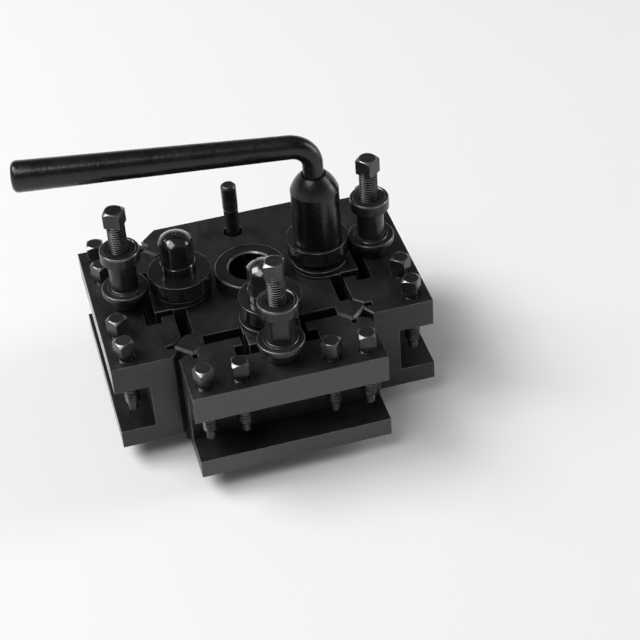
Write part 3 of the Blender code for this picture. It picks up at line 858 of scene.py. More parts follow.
FINISHES = (
    Finish(
        "post_black_oxide", Grain.MILLED, (0.0085, 0.0088, 0.0090), (0.0165, 0.0165, 0.0162), BARE_STEEL,
        roughness=0.40, swing=0.16, metallic=0.20, wear=0.30, relief=0.16, grain_scale=420.0, marks=0.14,
    ),
    Finish(
        "holder_black_oxide", Grain.MILLED, (0.0085, 0.0088, 0.0092), (0.0160, 0.0162, 0.0165), BARE_STEEL,
        roughness=0.37, swing=0.14, metallic=0.20, wear=0.38, relief=0.14, grain_scale=460.0,
        ground=(0.044, 0.045, 0.047),
    ),
    Finish(
        "clamp_black_oxide", Grain.MILLED, (0.0095, 0.0095, 0.0095), (0.019, 0.0185, 0.0175), BARE_STEEL,
        roughness=0.38, swing=0.12, metallic=0.25, wear=0.55, relief=0.16, grain_scale=420.0,
    ),
    Finish(
        "nut_black_oxide", Grain.TURNED, (0.014, 0.0142, 0.0145), (0.027, 0.0272, 0.0275), BARE_STEEL,
        roughness=0.32, swing=0.12, metallic=0.40, wear=0.50, relief=0.14, grain_scale=1500.0,
    ),
    Finish(
        "bush_dark_steel", Grain.TURNED, (0.010, 0.0098, 0.0096), (0.020, 0.0195, 0.0185), BARE_STEEL,
        roughness=0.33, swing=0.12, metallic=0.30, wear=0.95, relief=0.16, grain_scale=1300.0,
    ),
    Finish(
        "cam_bronzed_black", Grain.TURNED, (0.0105, 0.0100, 0.0094), (0.022, 0.0202, 0.0178), BARE_STEEL,
        roughness=0.19, swing=0.08, metallic=0.35, wear=0.55, relief=0.04, grain_scale=900.0, coat=1.0,
    ),
    Finish(
        "screw_dark_steel", Grain.TURNED, (0.024, 0.024, 0.024), (0.052, 0.0515, 0.050), (0.52, 0.52, 0.51),
        roughness=0.27, swing=0.12, metallic=0.60, wear=0.75, relief=0.12, grain_scale=1600.0,
    ),
    Finish(
        "spring_steel", Grain.TURNED, (0.060, 0.060, 0.058), (0.090, 0.090, 0.086), BARE_STEEL,
        roughness=0.34, swing=0.10, metallic=0.85, wear=0.50, relief=0.15, grain_scale=1800.0,
    ),
    Finish(
        "wrench_forged_black", Grain.FORGED,
        (0.0065, 0.0066, 0.0070), (0.012, 0.0121, 0.0124), (0.20, 0.20, 0.20),
        roughness=0.27, swing=0.10, metallic=0.40, wear=0.45, relief=0.80, grain_scale=620.0, coat=0.10,
        bump_depth=0.00018,
    ),
)


# ---- presenting pieces ----


@dataclass
class Workshop:
    """What every sub-assembly needs to put its pieces in the scene."""

    axis: Vector
    height: float
    materials: dict[str, bpy.types.Material]
    shown: int = 0

    def side_place(self, side: Side, out: float = 0.0, across: float = 0.0, turn: float = 0.0) -> Matrix:
        """Where a piece of one side goes.

        Args:
            side: The side.
            out: How far its axis is from the post's.
            across: How far its axis is from the middle of the side.
            turn: Its own turn about its axis.

        Returns:
            The matrix from the piece's own coordinates to the scene's.
        """
        return (
            Matrix.Translation(self.axis)
            @ Matrix.Rotation(math.radians(side.value), 4, "Z")
            @ Matrix.Translation((out, across, 0.0))
            @ Matrix.Rotation(math.radians(turn), 4, "Z")
        )

    def present(
        self, mesh: bpy.types.Mesh, name: str, body: str, nodes: Sequence[str], slot: str, place: Matrix
    ) -> None:
        """Puts a copy of a mesh in place as a piece that rides on a body.

        Args:
            mesh: The mesh in its own coordinates.
            name: The piece's name.
            body: The body that it moves with.
            nodes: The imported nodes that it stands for.
            slot: The slot that gives its finish.
            place: The matrix to the scene's coordinates.
        """
        own = mesh.copy()
        own.name = name
        values = [component for vertex in own.vertices for component in vertex.co]
        own.attributes.new(OWN_PLACE, "FLOAT_VECTOR", "POINT").data.foreach_set("vector", values)
        own.transform(place)
        own.materials.clear()
        own.materials.append(self.materials[slot])
        own.shade_smooth()
        own.set_sharp_from_angle(angle=math.radians(SMOOTH_BELOW))
        piece = bpy.data.objects.new(name, own)
        bpy.context.scene.collection.objects.link(piece)
        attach(piece, body)
        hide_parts(*nodes)
        self.shown += 1
        LOG.info("%s: %d faces on %s", name, len(own.polygons), body)


@dataclass(frozen=True)
class Plan:
    """The plan that the post and its holders share."""

    half_length: float = 0.060
    ridge_spread: float = 0.050
    crest: float = 0.0614
    face: float = 0.0465
    land: float = 0.0546
    front: float = 0.1013
    cam: float = 0.045
    stud: float = 0.0795
    tee_near: float = 0.0625
    tee_far: float = 0.0722
    mouth_half: float = 0.0204
    tee_half: float = 0.026
    clamp_foot: float = 0.027
    ridge_run: float = 0.008
    pin: float = 0.0504
    screw_setback: float = 0.011
    screw_spreads: tuple[float, ...] = (-0.050, -0.028, 0.028, 0.050)
    journal_throw: float = 0.002
    journal_angle: float = -112.5

    @property
    def journal_centre(self) -> Point:
        """Where an eccentric journal's centre is at rest, from its spindle's axis."""
        angle = math.radians(self.journal_angle)
        return (self.journal_throw * math.cos(angle), self.journal_throw * math.sin(angle))

    @property
    def corner_sum(self) -> float:
        """Distance plus spread on the slanting planes behind the ridges."""
        return self.crest + self.ridge_spread


# ---- the post, its bush and its pin ----


@dataclass
class PostBlock:
    """The milled block with two vee ridges on each of three faces."""

    plan: Plan = field(default_factory=Plan)
    ridge_flat: float = 0.0010
    flank_end: float = 0.0538
    rear_half: float = 0.0595
    rear_shoulder: float = 0.0565
    back: float = 0.0684
    corner_cut: float = 0.0085
    pocket_half: float = 0.0184
    bore: float = 0.0181
    pin_hole: float = 0.0062
    tail_hole: float = 0.0083
    recess: float = 0.013
    recess_depth: float = 0.006
    edge: float = 0.00035
    ridge_chamfer: float = 0.0015
    ridge_wear: float = 0.55
    bore_sink: float = 0.0007
    pin_sink: float = 0.0006

    def outline(self) -> list[Point]:
        """The block's plan, round from the left face.

        Returns:
            Its points in order.
        """
        plan = self.plan
        root = plan.ridge_spread - plan.ridge_run
        up = [
            (plan.face, root),
            (plan.crest - plan.ridge_run, root),
            (plan.crest - self.ridge_flat, plan.ridge_spread - self.ridge_flat),
            (plan.crest - self.ridge_flat, plan.ridge_spread + self.ridge_flat),
        ]
        half = [(out, -spread) for out, spread in reversed(up)] + up
        points: list[Point] = []
        for side in Side:
            spin = Matrix.Rotation(math.radians(side.value), 2)
            points += [tuple(spin @ Vector(point)) for point in half]
        rear = [
            (plan.corner_sum - self.flank_end, self.flank_end),
            (self.rear_half, self.rear_shoulder),
            (self.rear_half, self.back - self.corner_cut),
            (self.rear_half - self.corner_cut, self.back),
        ]
        return points + rear + [(-x, y) for x, y in reversed(rear)]

    def pocket(self, height: float) -> Workpiece:
        """The cutter for one clamp's pocket.

        Args:
            height: The height of the post's top face.

        Returns:
            The cutter.
        """
        plan = self.plan
        outline = arc((plan.cam, 0.0), self.pocket_half, 90.0, 270.0, SMALL_ROUND)
        mouth = plan.face + self.pocket_half
        outline += [(mouth, -self.pocket_half), (mouth, self.pocket_half)]
        return Workpiece.prism(outline, plan.clamp_foot - THREAD_GAP, height + GAP)

    def build(self, height: float) -> bpy.types.Mesh:
        """Makes the block: the plan, the pockets, eased corners, and then the bores.

        Args:
            height: The block's height.

        Returns:
            Its mesh.
        """
        plan = self.plan
        pockets = [(Join.CUT, self.pocket(height).moved(turn=side.value)) for side in Side]
        solid = Workpiece.prism(self.outline(), 0.0, height).joined(*pockets).tidy()

        def on_ridge(edge: bmesh.types.BMEdge) -> bool:
            """Whether an edge lies along the top of a vee ridge's inner flank or crest.

            Args:
                edge: The edge.

            Returns:
                True if it does.
            """
            first, last = (vert.co for vert in edge.verts)
            middle = (first + last) / 2
            near, far = sorted((abs(middle.x), abs(middle.y)))
            level = min(first.z, last.z) > height - GAP
            return level and far > plan.face + plan.ridge_run and near > plan.ridge_spread - plan.ridge_run

        solid.ease(self.ridge_chamfer, 1, self.ridge_wear, sharper_than=60.0, where=on_ridge)
        solid.ease(self.edge, sharper_than=50.0)
        holes = [
            (Join.CUT, Workpiece.drill(self.bore, -GAP, height, self.bore_sink, (0.0, 0.0))),
            (Join.CUT, Workpiece.drill(self.pin_hole, -GAP, height, self.pin_sink, (0.0, plan.pin))),
        ]
        for side in Side:
            steps = [
                (self.tail_hole, plan.clamp_foot + GAP),
                (self.tail_hole, self.recess_depth),
                (self.recess, self.recess_depth),
                (self.recess, -GAP),
            ]
            tail = Workpiece.turned(steps, MEDIUM_ROUND, (plan.cam, 0.0))
            holes.append((Join.CUT, tail.moved(turn=side.value)))
        return solid.joined(*holes).to_mesh("post_block")

    def dress(self, shop: Workshop) -> None:
        """Puts the block in place.

        Args:
            shop: The workshop that shows the piece.
        """
        mesh = self.build(shop.height)
        place = Matrix.Translation(shop.axis)
        shop.present(mesh, "milled_post", "post", ["post_block"], "post_black_oxide", place)


@dataclass
class CentreBush:
    """The flanged bush that lines the bore for the lathe's stud."""

    bore: float = 0.0135
    body: float = 0.0178
    flange: float = 0.0227
    stand: float = 0.009
    foot: float = 0.002
    rim: float = 0.0014
    chamfer: float = 0.0010
    seat_chamfer: float = 0.0006
    ring_depth: float = 0.00012
    worn_slopes: tuple[float, float] = (0.25, 0.93)
    mouth_wear: float = 1.0
    rim_wear: float = 0.45

    def build(self, height: float) -> bpy.types.Mesh:
        """Turns the bush.

        Args:
            height: The height of the post's top face.

        Returns:
            Its mesh.
        """
        top = height + self.stand
        seat = height + GAP
        rim = arc((self.flange - self.rim, top - self.rim), self.rim, 90.0, 0.0, 6)
        profile = [
            (self.bore + self.chamfer, top),
            (self.flange - 2 * self.rim, top),
            (self.flange - 2 * self.rim, top - self.ring_depth),
            (self.flange - 1.6 * self.rim, top - self.ring_depth),
            (self.flange - 1.6 * self.rim, top),
            *rim,
            (self.flange, seat + self.seat_chamfer),
            (self.flange - self.seat_chamfer, seat),
            (self.body, seat),
            (self.body, self.foot),
            (self.bore, self.foot),
            (self.bore, top - self.chamfer),
            (self.bore + self.chamfer, top),
        ]
        bush = Workpiece.turned(profile, FINE_ROUND)
        for face in bush.shape.faces:
            middle = face.calc_center_median()
            outer = math.hypot(middle.x, middle.y)
            slanted = self.worn_slopes[0] < abs(face.normal.z) < self.worn_slopes[1]
            if middle.z > seat and slanted:
                face[bush.worn] = self.mouth_wear if outer < self.body else self.rim_wear
        return bush.to_mesh("centre_bush")

    def dress(self, shop: Workshop) -> None:
        """Puts the bush in place."""
        place = Matrix.Translation(shop.axis)
        shop.present(self.build(shop.height), "stud_bush", "post", ["centre_bush"], "bush_dark_steel", place)


@dataclass
class IndexPin:
    """The loose pin behind the bush, with a ring groove halfway up what stands above the post."""

    plan: Plan = field(default_factory=Plan)
    radius: float = 0.005
    stand: float = 0.037
    groove: float = 0.019
    groove_half: float = 0.0005
    groove_depth: float = 0.0006
    waist: float = 0.00025
    chamfer: float = 0.0012
    dimple: float = 0.0016
    dimple_depth: float = 0.0004
    edge: float = 0.00015

    def build(self, height: float) -> bpy.types.Mesh:
        """Turns the pin.

        Args:
            height: The height of the post's top face.

        Returns:
            Its mesh.
        """
        top, groove, foot = height + self.stand, height + self.groove, GAP
        lower = self.radius - self.waist
        profile = [
            (0.0, top - self.dimple_depth),
            (self.dimple, top),
            (self.radius - self.chamfer, top),
            (self.radius, top - self.chamfer),
            (self.radius, groove + self.groove_half),
            (self.radius - self.groove_depth, groove + self.groove_half),
            (self.radius - self.groove_depth, groove - self.groove_half),
            (lower, groove - self.groove_half),
            (lower, foot + self.chamfer),
            (self.radius - self.chamfer, foot),
            (0.0, foot),
        ]
        pin = Workpiece.turned(profile, MEDIUM_ROUND)
        return pin.ease(self.edge, steps=2, wear=0.8).to_mesh("index_pin")

    def dress(self, shop: Workshop) -> None:
        """Puts the pin in place.

        Args:
            shop: The workshop that shows the piece.
        """
        place = Matrix.Translation(shop.axis + Vector((0.0, self.plan.pin, 0.0)))
        mesh = self.build(shop.height)
        shop.present(mesh, "plunger_pin", "index_pin", ["index_pin"], "screw_dark_steel", place)


def upright(edge: bmesh.types.BMEdge) -> bool:
    """Whether an edge of a bar stands up along it."""
    return abs(edge.verts[0].co.z - edge.verts[1].co.z) > 0.005


# ---- what clamps one holder ----


@dataclass
class CamSpindle:
    """The spindle with a domed hexagon, a neck, a broad offset disc and an eccentric journal."""

    plan: Plan = field(default_factory=Plan)
    disc: float = 0.0195
    disc_foot: float = 0.009
    disc_thick: float = 0.0105
    disc_offset: float = 0.0025
    neck: float = 0.011
    neck_height: float = 0.0055
    across_flats: float = 0.019
    hex_height: float = 0.0208
    dome: float = 0.0133
    shoulder: float = 0.0051
    spindle: float = 0.0085
    journal: float = 0.0105
    journal_foot: float = 0.030
    journal_top: float = 0.074
    tail: float = 0.008
    tail_foot: float = 0.001
    groove: tuple[float, float] = (0.0032, 0.0052)
    groove_depth: float = 0.0010
    corner_ease: float = 0.0005
    neck_ease: float = 0.0004
    neck_groove: float = 0.0005
    disc_edge: float = 0.0003

    def hexagon(self, foot: float) -> Workpiece:
        """The domed hexagon, with its corners eased and a centre mark on top.

        Args:
            foot: The height of its foot.

        Returns:
            The hexagon.
        """
        top = foot + self.hex_height
        reach = math.degrees(math.asin(self.neck / self.dome))
        crown = arc((0.0, top - self.dome), self.dome, 90.0, 90.0 - reach, 14)
        crown = [(0.0, top - 0.0007), (0.0011, top - 0.0002), (0.0015, crown[1][1])] + crown[2:]
        under = foot - OVERCUT
        envelope = Workpiece.turned([*crown, (self.neck, under), (0.0, under)], FINE_ROUND)
        bar = Workpiece.prism(regular_plan(6, self.across_flats), under, top + OVERCUT)
        bar.ease(self.corner_ease, 2, 0.45, where=upright)
        return envelope.joined((Join.KEEP_COMMON, bar))

    def build(self, height: float) -> bpy.types.Mesh:
        """Makes the spindle about its own axis.

        Args:
            height: The height of the post's top face.

        Returns:
            Its mesh.
        """
        low = height + self.disc_foot
        high = low + self.disc_thick
        hex_foot = high + self.neck_height
        middle = (self.journal_foot + self.journal_top) / 2
        under = height + self.shoulder
        profile = [
            (self.neck - self.neck_ease, hex_foot),
            (self.neck, hex_foot - self.neck_ease),
            (self.neck, high + 2 * self.neck_ease),
            (self.neck - self.neck_groove, high + self.neck_ease),
            (self.neck - self.neck_groove, high - OVERCUT),
            (self.neck, high - OVERCUT),
            (self.neck, under),
            (self.spindle, under),
            (self.spindle, middle),
            (self.tail, middle),
            (self.tail, self.groove[1]),
            (self.tail - self.groove_depth, self.groove[1]),
            (self.tail - self.groove_depth, self.groove[0]),
            (self.tail, self.groove[0]),
            (self.tail, self.tail_foot),
        ]
        spindle = Workpiece.turned(profile, NECK_ROUND)
        for face in spindle.shape.faces:
            if face.normal.z > 0.5 and face.calc_center_median().z > hex_foot - 0.0005:
                face[spindle.worn] = 0.15
        disc = Workpiece.rod(self.disc, low, high, FINE_ROUND, (0.0, self.disc_offset))
        disc.ease(self.disc_edge, 2, 0.8)
        centre = self.plan.journal_centre
        journal = Workpiece.rod(self.journal, self.journal_foot, self.journal_top, MEDIUM_ROUND, centre)
        solid = disc.joined((Join.ADD, spindle), (Join.ADD, journal), (Join.ADD, self.hexagon(hex_foot)))
        return solid.to_mesh("cam")

    def dress(self, shop: Workshop) -> None:
        """Puts one spindle on each side.

        Args:
            shop: The workshop that shows the piece.
        """
        mesh = self.build(shop.height)
        for side in Side:
            name = f"cam_{side.label}"
            place = shop.side_place(side, self.plan.cam)
            shop.present(mesh, f"cam_spindle_{side.label}", name, [name], "cam_bronzed_black", place)


@dataclass
class RetainingRing:
    """The open ring in each spindle's groove, under the post."""

    plan: Plan = field(default_factory=Plan)
    outer: float = 0.0115
    inner: float = 0.0073
    foot: float = 0.0035
    thick: float = 0.0014
    mouth: float = 40.0

    def build(self) -> bpy.types.Mesh:
        """Makes the ring from its plan.

        Returns:
            Its mesh.
        """
        half = self.mouth / 2
        outline = arc((0.0, 0.0), self.outer, half, 360.0 - half, BAR_ROUND)
        outline += arc((0.0, 0.0), self.inner, 360.0 - half, half, BAR_ROUND)
        ring = Workpiece.prism(outline, self.foot, self.foot + self.thick)
        return ring.ease(0.00015, 1, 0.5, sharper_than=60.0).to_mesh("cam_ring")

    def dress(self, shop: Workshop) -> None:
        """Puts one ring on each spindle.

        Args:
            shop: The workshop that shows the piece.
        """
        mesh = self.build()
        for side in Side:
            place = shop.side_place(side, self.plan.cam, turn=90.0)
            name, body, node = (f"{start}_{side.label}" for start in ("retaining_ring", "cam", "cam_ring"))
            shop.present(mesh, name, body, [node], "spring_steel", place)


@dataclass
class TeeClamp:
    """The tee clamp round a spindle: body, boss, tongue and the two lugs that pull the holder in."""

    plan: Plan = field(default_factory=Plan)
    half: float = 0.018
    tongue_half: float = 0.017
    tongue_end: float = 0.0656
    tongue_stand: float = 0.0015
    boss_stand: float = 0.0048
    lug_half: float = 0.0253
    lug_near: float = 0.0628
    lug_far: float = 0.0698
    lug_height: float = 0.035
    neck_end: float = 0.0542
    bore: float = 0.01085
    edge: float = 0.0006
    boss_inset: float = 0.0002
    boss_edge: float = 0.0004

    def build(self, height: float) -> bpy.types.Mesh:
        """Makes the clamp in its side's coordinates.

        Args:
            height: The height of the post's top face.

        Returns:
            Its mesh.
        """
        foot = self.plan.clamp_foot
        half, tongue, neck = self.half, self.tongue_half, self.neck_end
        outline = arc((self.plan.cam, 0.0), half, 90.0, 270.0, SMALL_ROUND)
        outline += [(neck, -half), (neck, -tongue), (self.tongue_end, -tongue)]
        outline += [(self.tongue_end, tongue), (neck, tongue), (neck, half)]
        body = Workpiece.prism(outline, foot, height + self.tongue_stand)
        low = (self.lug_near, -self.lug_half, foot)
        high = (self.lug_far, self.lug_half, foot + self.lug_height)
        solid = body.joined((Join.ADD, Workpiece.block(low, high))).tidy().ease(self.edge)
        boss_top = height + self.boss_stand
        axis = (self.plan.cam, 0.0)
        boss = Workpiece.rod(half - self.boss_inset, (foot + height) / 2, boss_top, FINE_ROUND, axis)
        boss.ease(self.boss_edge, 2, 0.7)
        # As far out as the journal, and midway across between its place at rest and its far one.
        out, across = self.plan.journal_centre
        centre = (self.plan.cam + out, (across - self.plan.journal_throw) / 2)
        bore = Workpiece.rod(self.bore, 0.0, 2 * height, LARGE_ROUND, centre)
        return solid.joined((Join.ADD, boss), (Join.CUT, bore)).to_mesh("clamp")

    def dress(self, shop: Workshop) -> None:
        """Puts one clamp on each side.

        Args:
            shop: The workshop that shows the piece.
        """
        mesh = self.build(shop.height)
        for side in Side:
            name = f"clamp_{side.label}"
            place = shop.side_place(side)
            shop.present(mesh, f"tee_clamp_{side.label}", name, [name], "clamp_black_oxide", place)


# ---- one holder and what is screwed into it ----


@dataclass
class ToolHolder:
    """The tool holder: a bar with an open slot for the tool, vee grooves and a tee slot behind."""

    plan: Plan = field(default_factory=Plan)
    height: float = 0.064
    end_inset: float = 0.0068
    end_face: float = 0.0629
    relief_width: float = 0.0032
    relief_depth: float = 0.0035
    top_bar: float = 0.0192
    bottom_bar: float = 0.013
    slot_depth: float = 0.022
    screw_hole: float = 0.0051
    stud_hole: float = 0.0062
    stud_depth: float = 0.0154
    sink: float = 0.0009
    edge: float = 0.0003
    groove_chamfer: float = 0.0009
    groove_wear: float = 0.55

    def half_outline(self) -> list[Point]:
        """The plan from the outer face round one end to the middle of the tee slot.

        Returns:
            Its points in order.
        """
        plan = self.plan
        flank_sum = plan.corner_sum + GAP * math.sqrt(2)
        inner = plan.crest - plan.ridge_spread + GAP * math.sqrt(2)
        inset = plan.half_length - self.end_inset
        near = plan.ridge_spread - self.relief_width / 2
        far = plan.ridge_spread + self.relief_width / 2
        floor = plan.crest + self.relief_depth
        return [
            (plan.front, plan.half_length),
            (self.end_face, plan.half_length),
            (flank_sum - inset, inset),
            (flank_sum - far, far),
            (floor, far),
            (floor, near),
            (near + inner, near),
            (plan.land, plan.land - inner),
            (plan.land, plan.mouth_half),
            (plan.tee_near, plan.mouth_half),
            (plan.tee_near, plan.tee_half),
            (plan.tee_far, plan.tee_half),
        ]

    def build(self, height: float) -> bpy.types.Mesh:
        """Makes the holder in its side's coordinates.

        Args:
            height: The height of its top face.

        Returns:
            Its mesh.
        """
        plan = self.plan
        half = self.half_outline()
        outline = half + [(out, -spread) for out, spread in reversed(half)]
        foot = height - self.height
        low = (plan.front - self.slot_depth, -plan.half_length - OVERCUT, foot + self.bottom_bar)
        high = (plan.front + OVERCUT, plan.half_length + OVERCUT, height - self.top_bar)
        body = Workpiece.prism(outline, foot, height).joined((Join.CUT, Workpiece.block(low, high)))

        def behind(edge: bmesh.types.BMEdge) -> bool:
            """Whether an edge lies along the top of a vee groove or of the chamfer at an end.

            Args:
                edge: The edge.

            Returns:
                True if it does.
            """
            first, last = (vert.co for vert in edge.verts)
            middle = (first + last) / 2
            level = min(first.z, last.z) > height - GAP
            return level and middle.x < self.end_face and abs(middle.y) > plan.ridge_spread - plan.ridge_run

        body.tidy().ease(self.groove_chamfer, 1, self.groove_wear, sharper_than=60.0, where=behind)
        body.ease(self.edge, sharper_than=50.0)
        for face in body.shape.faces:
            outward = face.normal.x > 0.99 and face.calc_center_median().x > plan.front - OVERCUT
            if outward and face[body.worn] == 0.0:
                face[body.ground] = 1.0
        middle = (low[2] + high[2]) / 2
        row = plan.front - plan.screw_setback
        holes = [
            (Join.CUT, Workpiece.drill(self.screw_hole, middle, height, self.sink, (row, spread)))
            for spread in plan.screw_spreads
        ]
        stud = Workpiece.drill(self.stud_hole, height - self.stud_depth, height, self.sink, (plan.stud, 0.0))
        return body.joined(*holes, (Join.CUT, stud)).to_mesh("holder")

    def dress(self, shop: Workshop) -> None:
        """Puts one holder on each side.

        Args:
            shop: The workshop that shows the piece.
        """
        mesh = self.build(shop.height)
        for side in Side:
            name = f"holder_{side.label}"
            place = shop.side_place(side)
            shop.present(mesh, f"tool_holder_{side.label}", name, [name], "holder_black_oxide", place)


@dataclass
class SquareHead:
    """The square head that the set screws and studs share."""

    across_flats: float
    height: float
    crown_flat: float = 0.92
    corner: float = 0.96
    slope: float = 30.0
    corner_ease: float = 0.0003
    crown_wear: float = 0.62

    def solid(self, foot: float) -> Workpiece:
        """Makes the head above a height, crowned by a cone and with eased corners.

        Args:
            foot: The height of its foot.

        Returns:
            The head.
        """
        half = self.across_flats / 2
        corner = half * math.sqrt(2) * self.corner
        top = foot + self.height
        drop = (corner - half * self.crown_flat) * math.tan(math.radians(self.slope))
        crown = [(half * self.crown_flat, top), (corner, top - drop)]
        crown += [(corner, foot + 0.0003), (corner - 0.0004, foot)]
        cone = Workpiece.turned(crown, LARGE_ROUND)
        for face in cone.shape.faces:
            if 0.2 < face.normal.z < 0.97:
                face[cone.worn] = self.crown_wear
        bar = Workpiece.prism(regular_plan(4, self.across_flats, 45.0), foot - OVERCUT, top + OVERCUT)
        bar.ease(self.corner_ease, 2, 0.7, where=upright)
        return cone.joined((Join.KEEP_COMMON, bar))


@dataclass
class SetScrew:
    """A square-headed set screw with a dog point."""

    plan: Plan = field(default_factory=Plan)
    thread: Thread = Thread(0.0047, 0.0015, 0.00085)
    head: SquareHead = field(default_factory=lambda: SquareHead(0.010, 0.0085))
    head_foot: float = 0.0045
    reach: float = 0.042
    dog: float = 0.0031
    dog_length: float = 0.006
    overlap: float = 0.002
    turns: dict[Side, tuple[float, ...]] = field(
        default_factory=lambda: {
            Side.LEFT: (80.0, 30.0, 35.0, 22.0),
            Side.FRONT: (20.0, 84.0, 55.0, 82.0),
            Side.RIGHT: (57.0, 45.0, 70.0, 15.0),
        }
    )

    def build(self, height: float) -> bpy.types.Mesh:
        """Makes the screw about its own axis.

        Args:
            height: The height of the holder's top face.

        Returns:
            Its mesh.
        """
        foot = height - self.reach
        shoulder = foot + self.dog_length
        head_foot = height + self.head_foot
        radius = self.thread.radius
        profile = [
            (radius + GAP, head_foot + self.overlap),
            (radius + GAP, shoulder + radius + GAP - self.dog),
            (self.dog, shoulder),
            (self.dog, foot + 0.0005),
            (self.dog - 0.0005, foot),
        ]
        limit = Workpiece.turned(profile, MEDIUM_ROUND)
        shank = self.thread.solid(foot, head_foot + self.overlap).joined((Join.KEEP_COMMON, limit))
        neck = [(radius, head_foot + 0.003), (radius, height + 0.0006), (radius - 0.0005, height + 0.0001)]
        collar = Workpiece.turned(neck, MEDIUM_ROUND)
        return self.head.solid(head_foot).joined((Join.ADD, collar), (Join.ADD, shank)).to_mesh("tool_screw")

    def dress(self, shop: Workshop) -> None:
        """Puts four screws in each holder.

        Args:
            shop: The workshop that shows the piece.
        """
        mesh = self.build(shop.height)
        for side in Side:
            places = zip(self.plan.screw_spreads, self.turns[side])
            for number, (spread, turn) in enumerate(places, start=1):
                name, node = (f"{start}_{side.label}_{number}" for start in ("set_screw", "tool_screw"))
                place = shop.side_place(side, self.plan.front - self.plan.screw_setback, spread, turn)
                shop.present(mesh, name, node, [node], "screw_dark_steel", place)


@dataclass
class HeightStud:
    """The square-headed stud that carries a height nut."""

    plan: Plan = field(default_factory=Plan)
    thread: Thread = Thread(0.0058, 0.00175, 0.00095)
    head: SquareHead = field(default_factory=lambda: SquareHead(0.0112, 0.0105))
    depth: float = 0.015
    head_top: float = 0.0722
    overlap: float = 0.0015
    turns: dict[Side, float] = field(
        default_factory=lambda: {Side.LEFT: 62.0, Side.FRONT: 67.0, Side.RIGHT: 39.0}
    )

    def build(self, height: float) -> bpy.types.Mesh:
        """Makes the stud about its own axis.

        Args:
            height: The height of the holder's top face.

        Returns:
            Its mesh.
        """
        foot = height - self.depth
        head_foot = height + self.head_top - self.head.height
        radius = self.thread.radius
        profile = [(radius + GAP, head_foot + self.overlap), (radius + GAP, foot + 0.001)]
        profile.append((radius - 0.001, foot))
        limit = Workpiece.turned(profile, MEDIUM_ROUND)
        shank = self.thread.solid(foot, head_foot + self.overlap).joined((Join.KEEP_COMMON, limit))
        waist = radius - 0.0007
        collar = Workpiece.turned([(waist, head_foot + 0.003), (waist, head_foot - 0.0012)], SMALL_ROUND)
        head = self.head.solid(head_foot)
        return head.joined((Join.ADD, collar), (Join.ADD, shank)).to_mesh("height_stud")

    def dress(self, shop: Workshop) -> None:
        """Puts one stud in each holder.

        Args:
            shop: The workshop that shows the piece.
        """
        mesh = self.build(shop.height)
        for side in Side:
            node = f"height_stud_{side.label}"
            place = shop.side_place(side, self.plan.stud, turn=self.turns[side])
            shop.present(mesh, f"height_screw_{side.label}", node, [node], "screw_dark_steel", place)


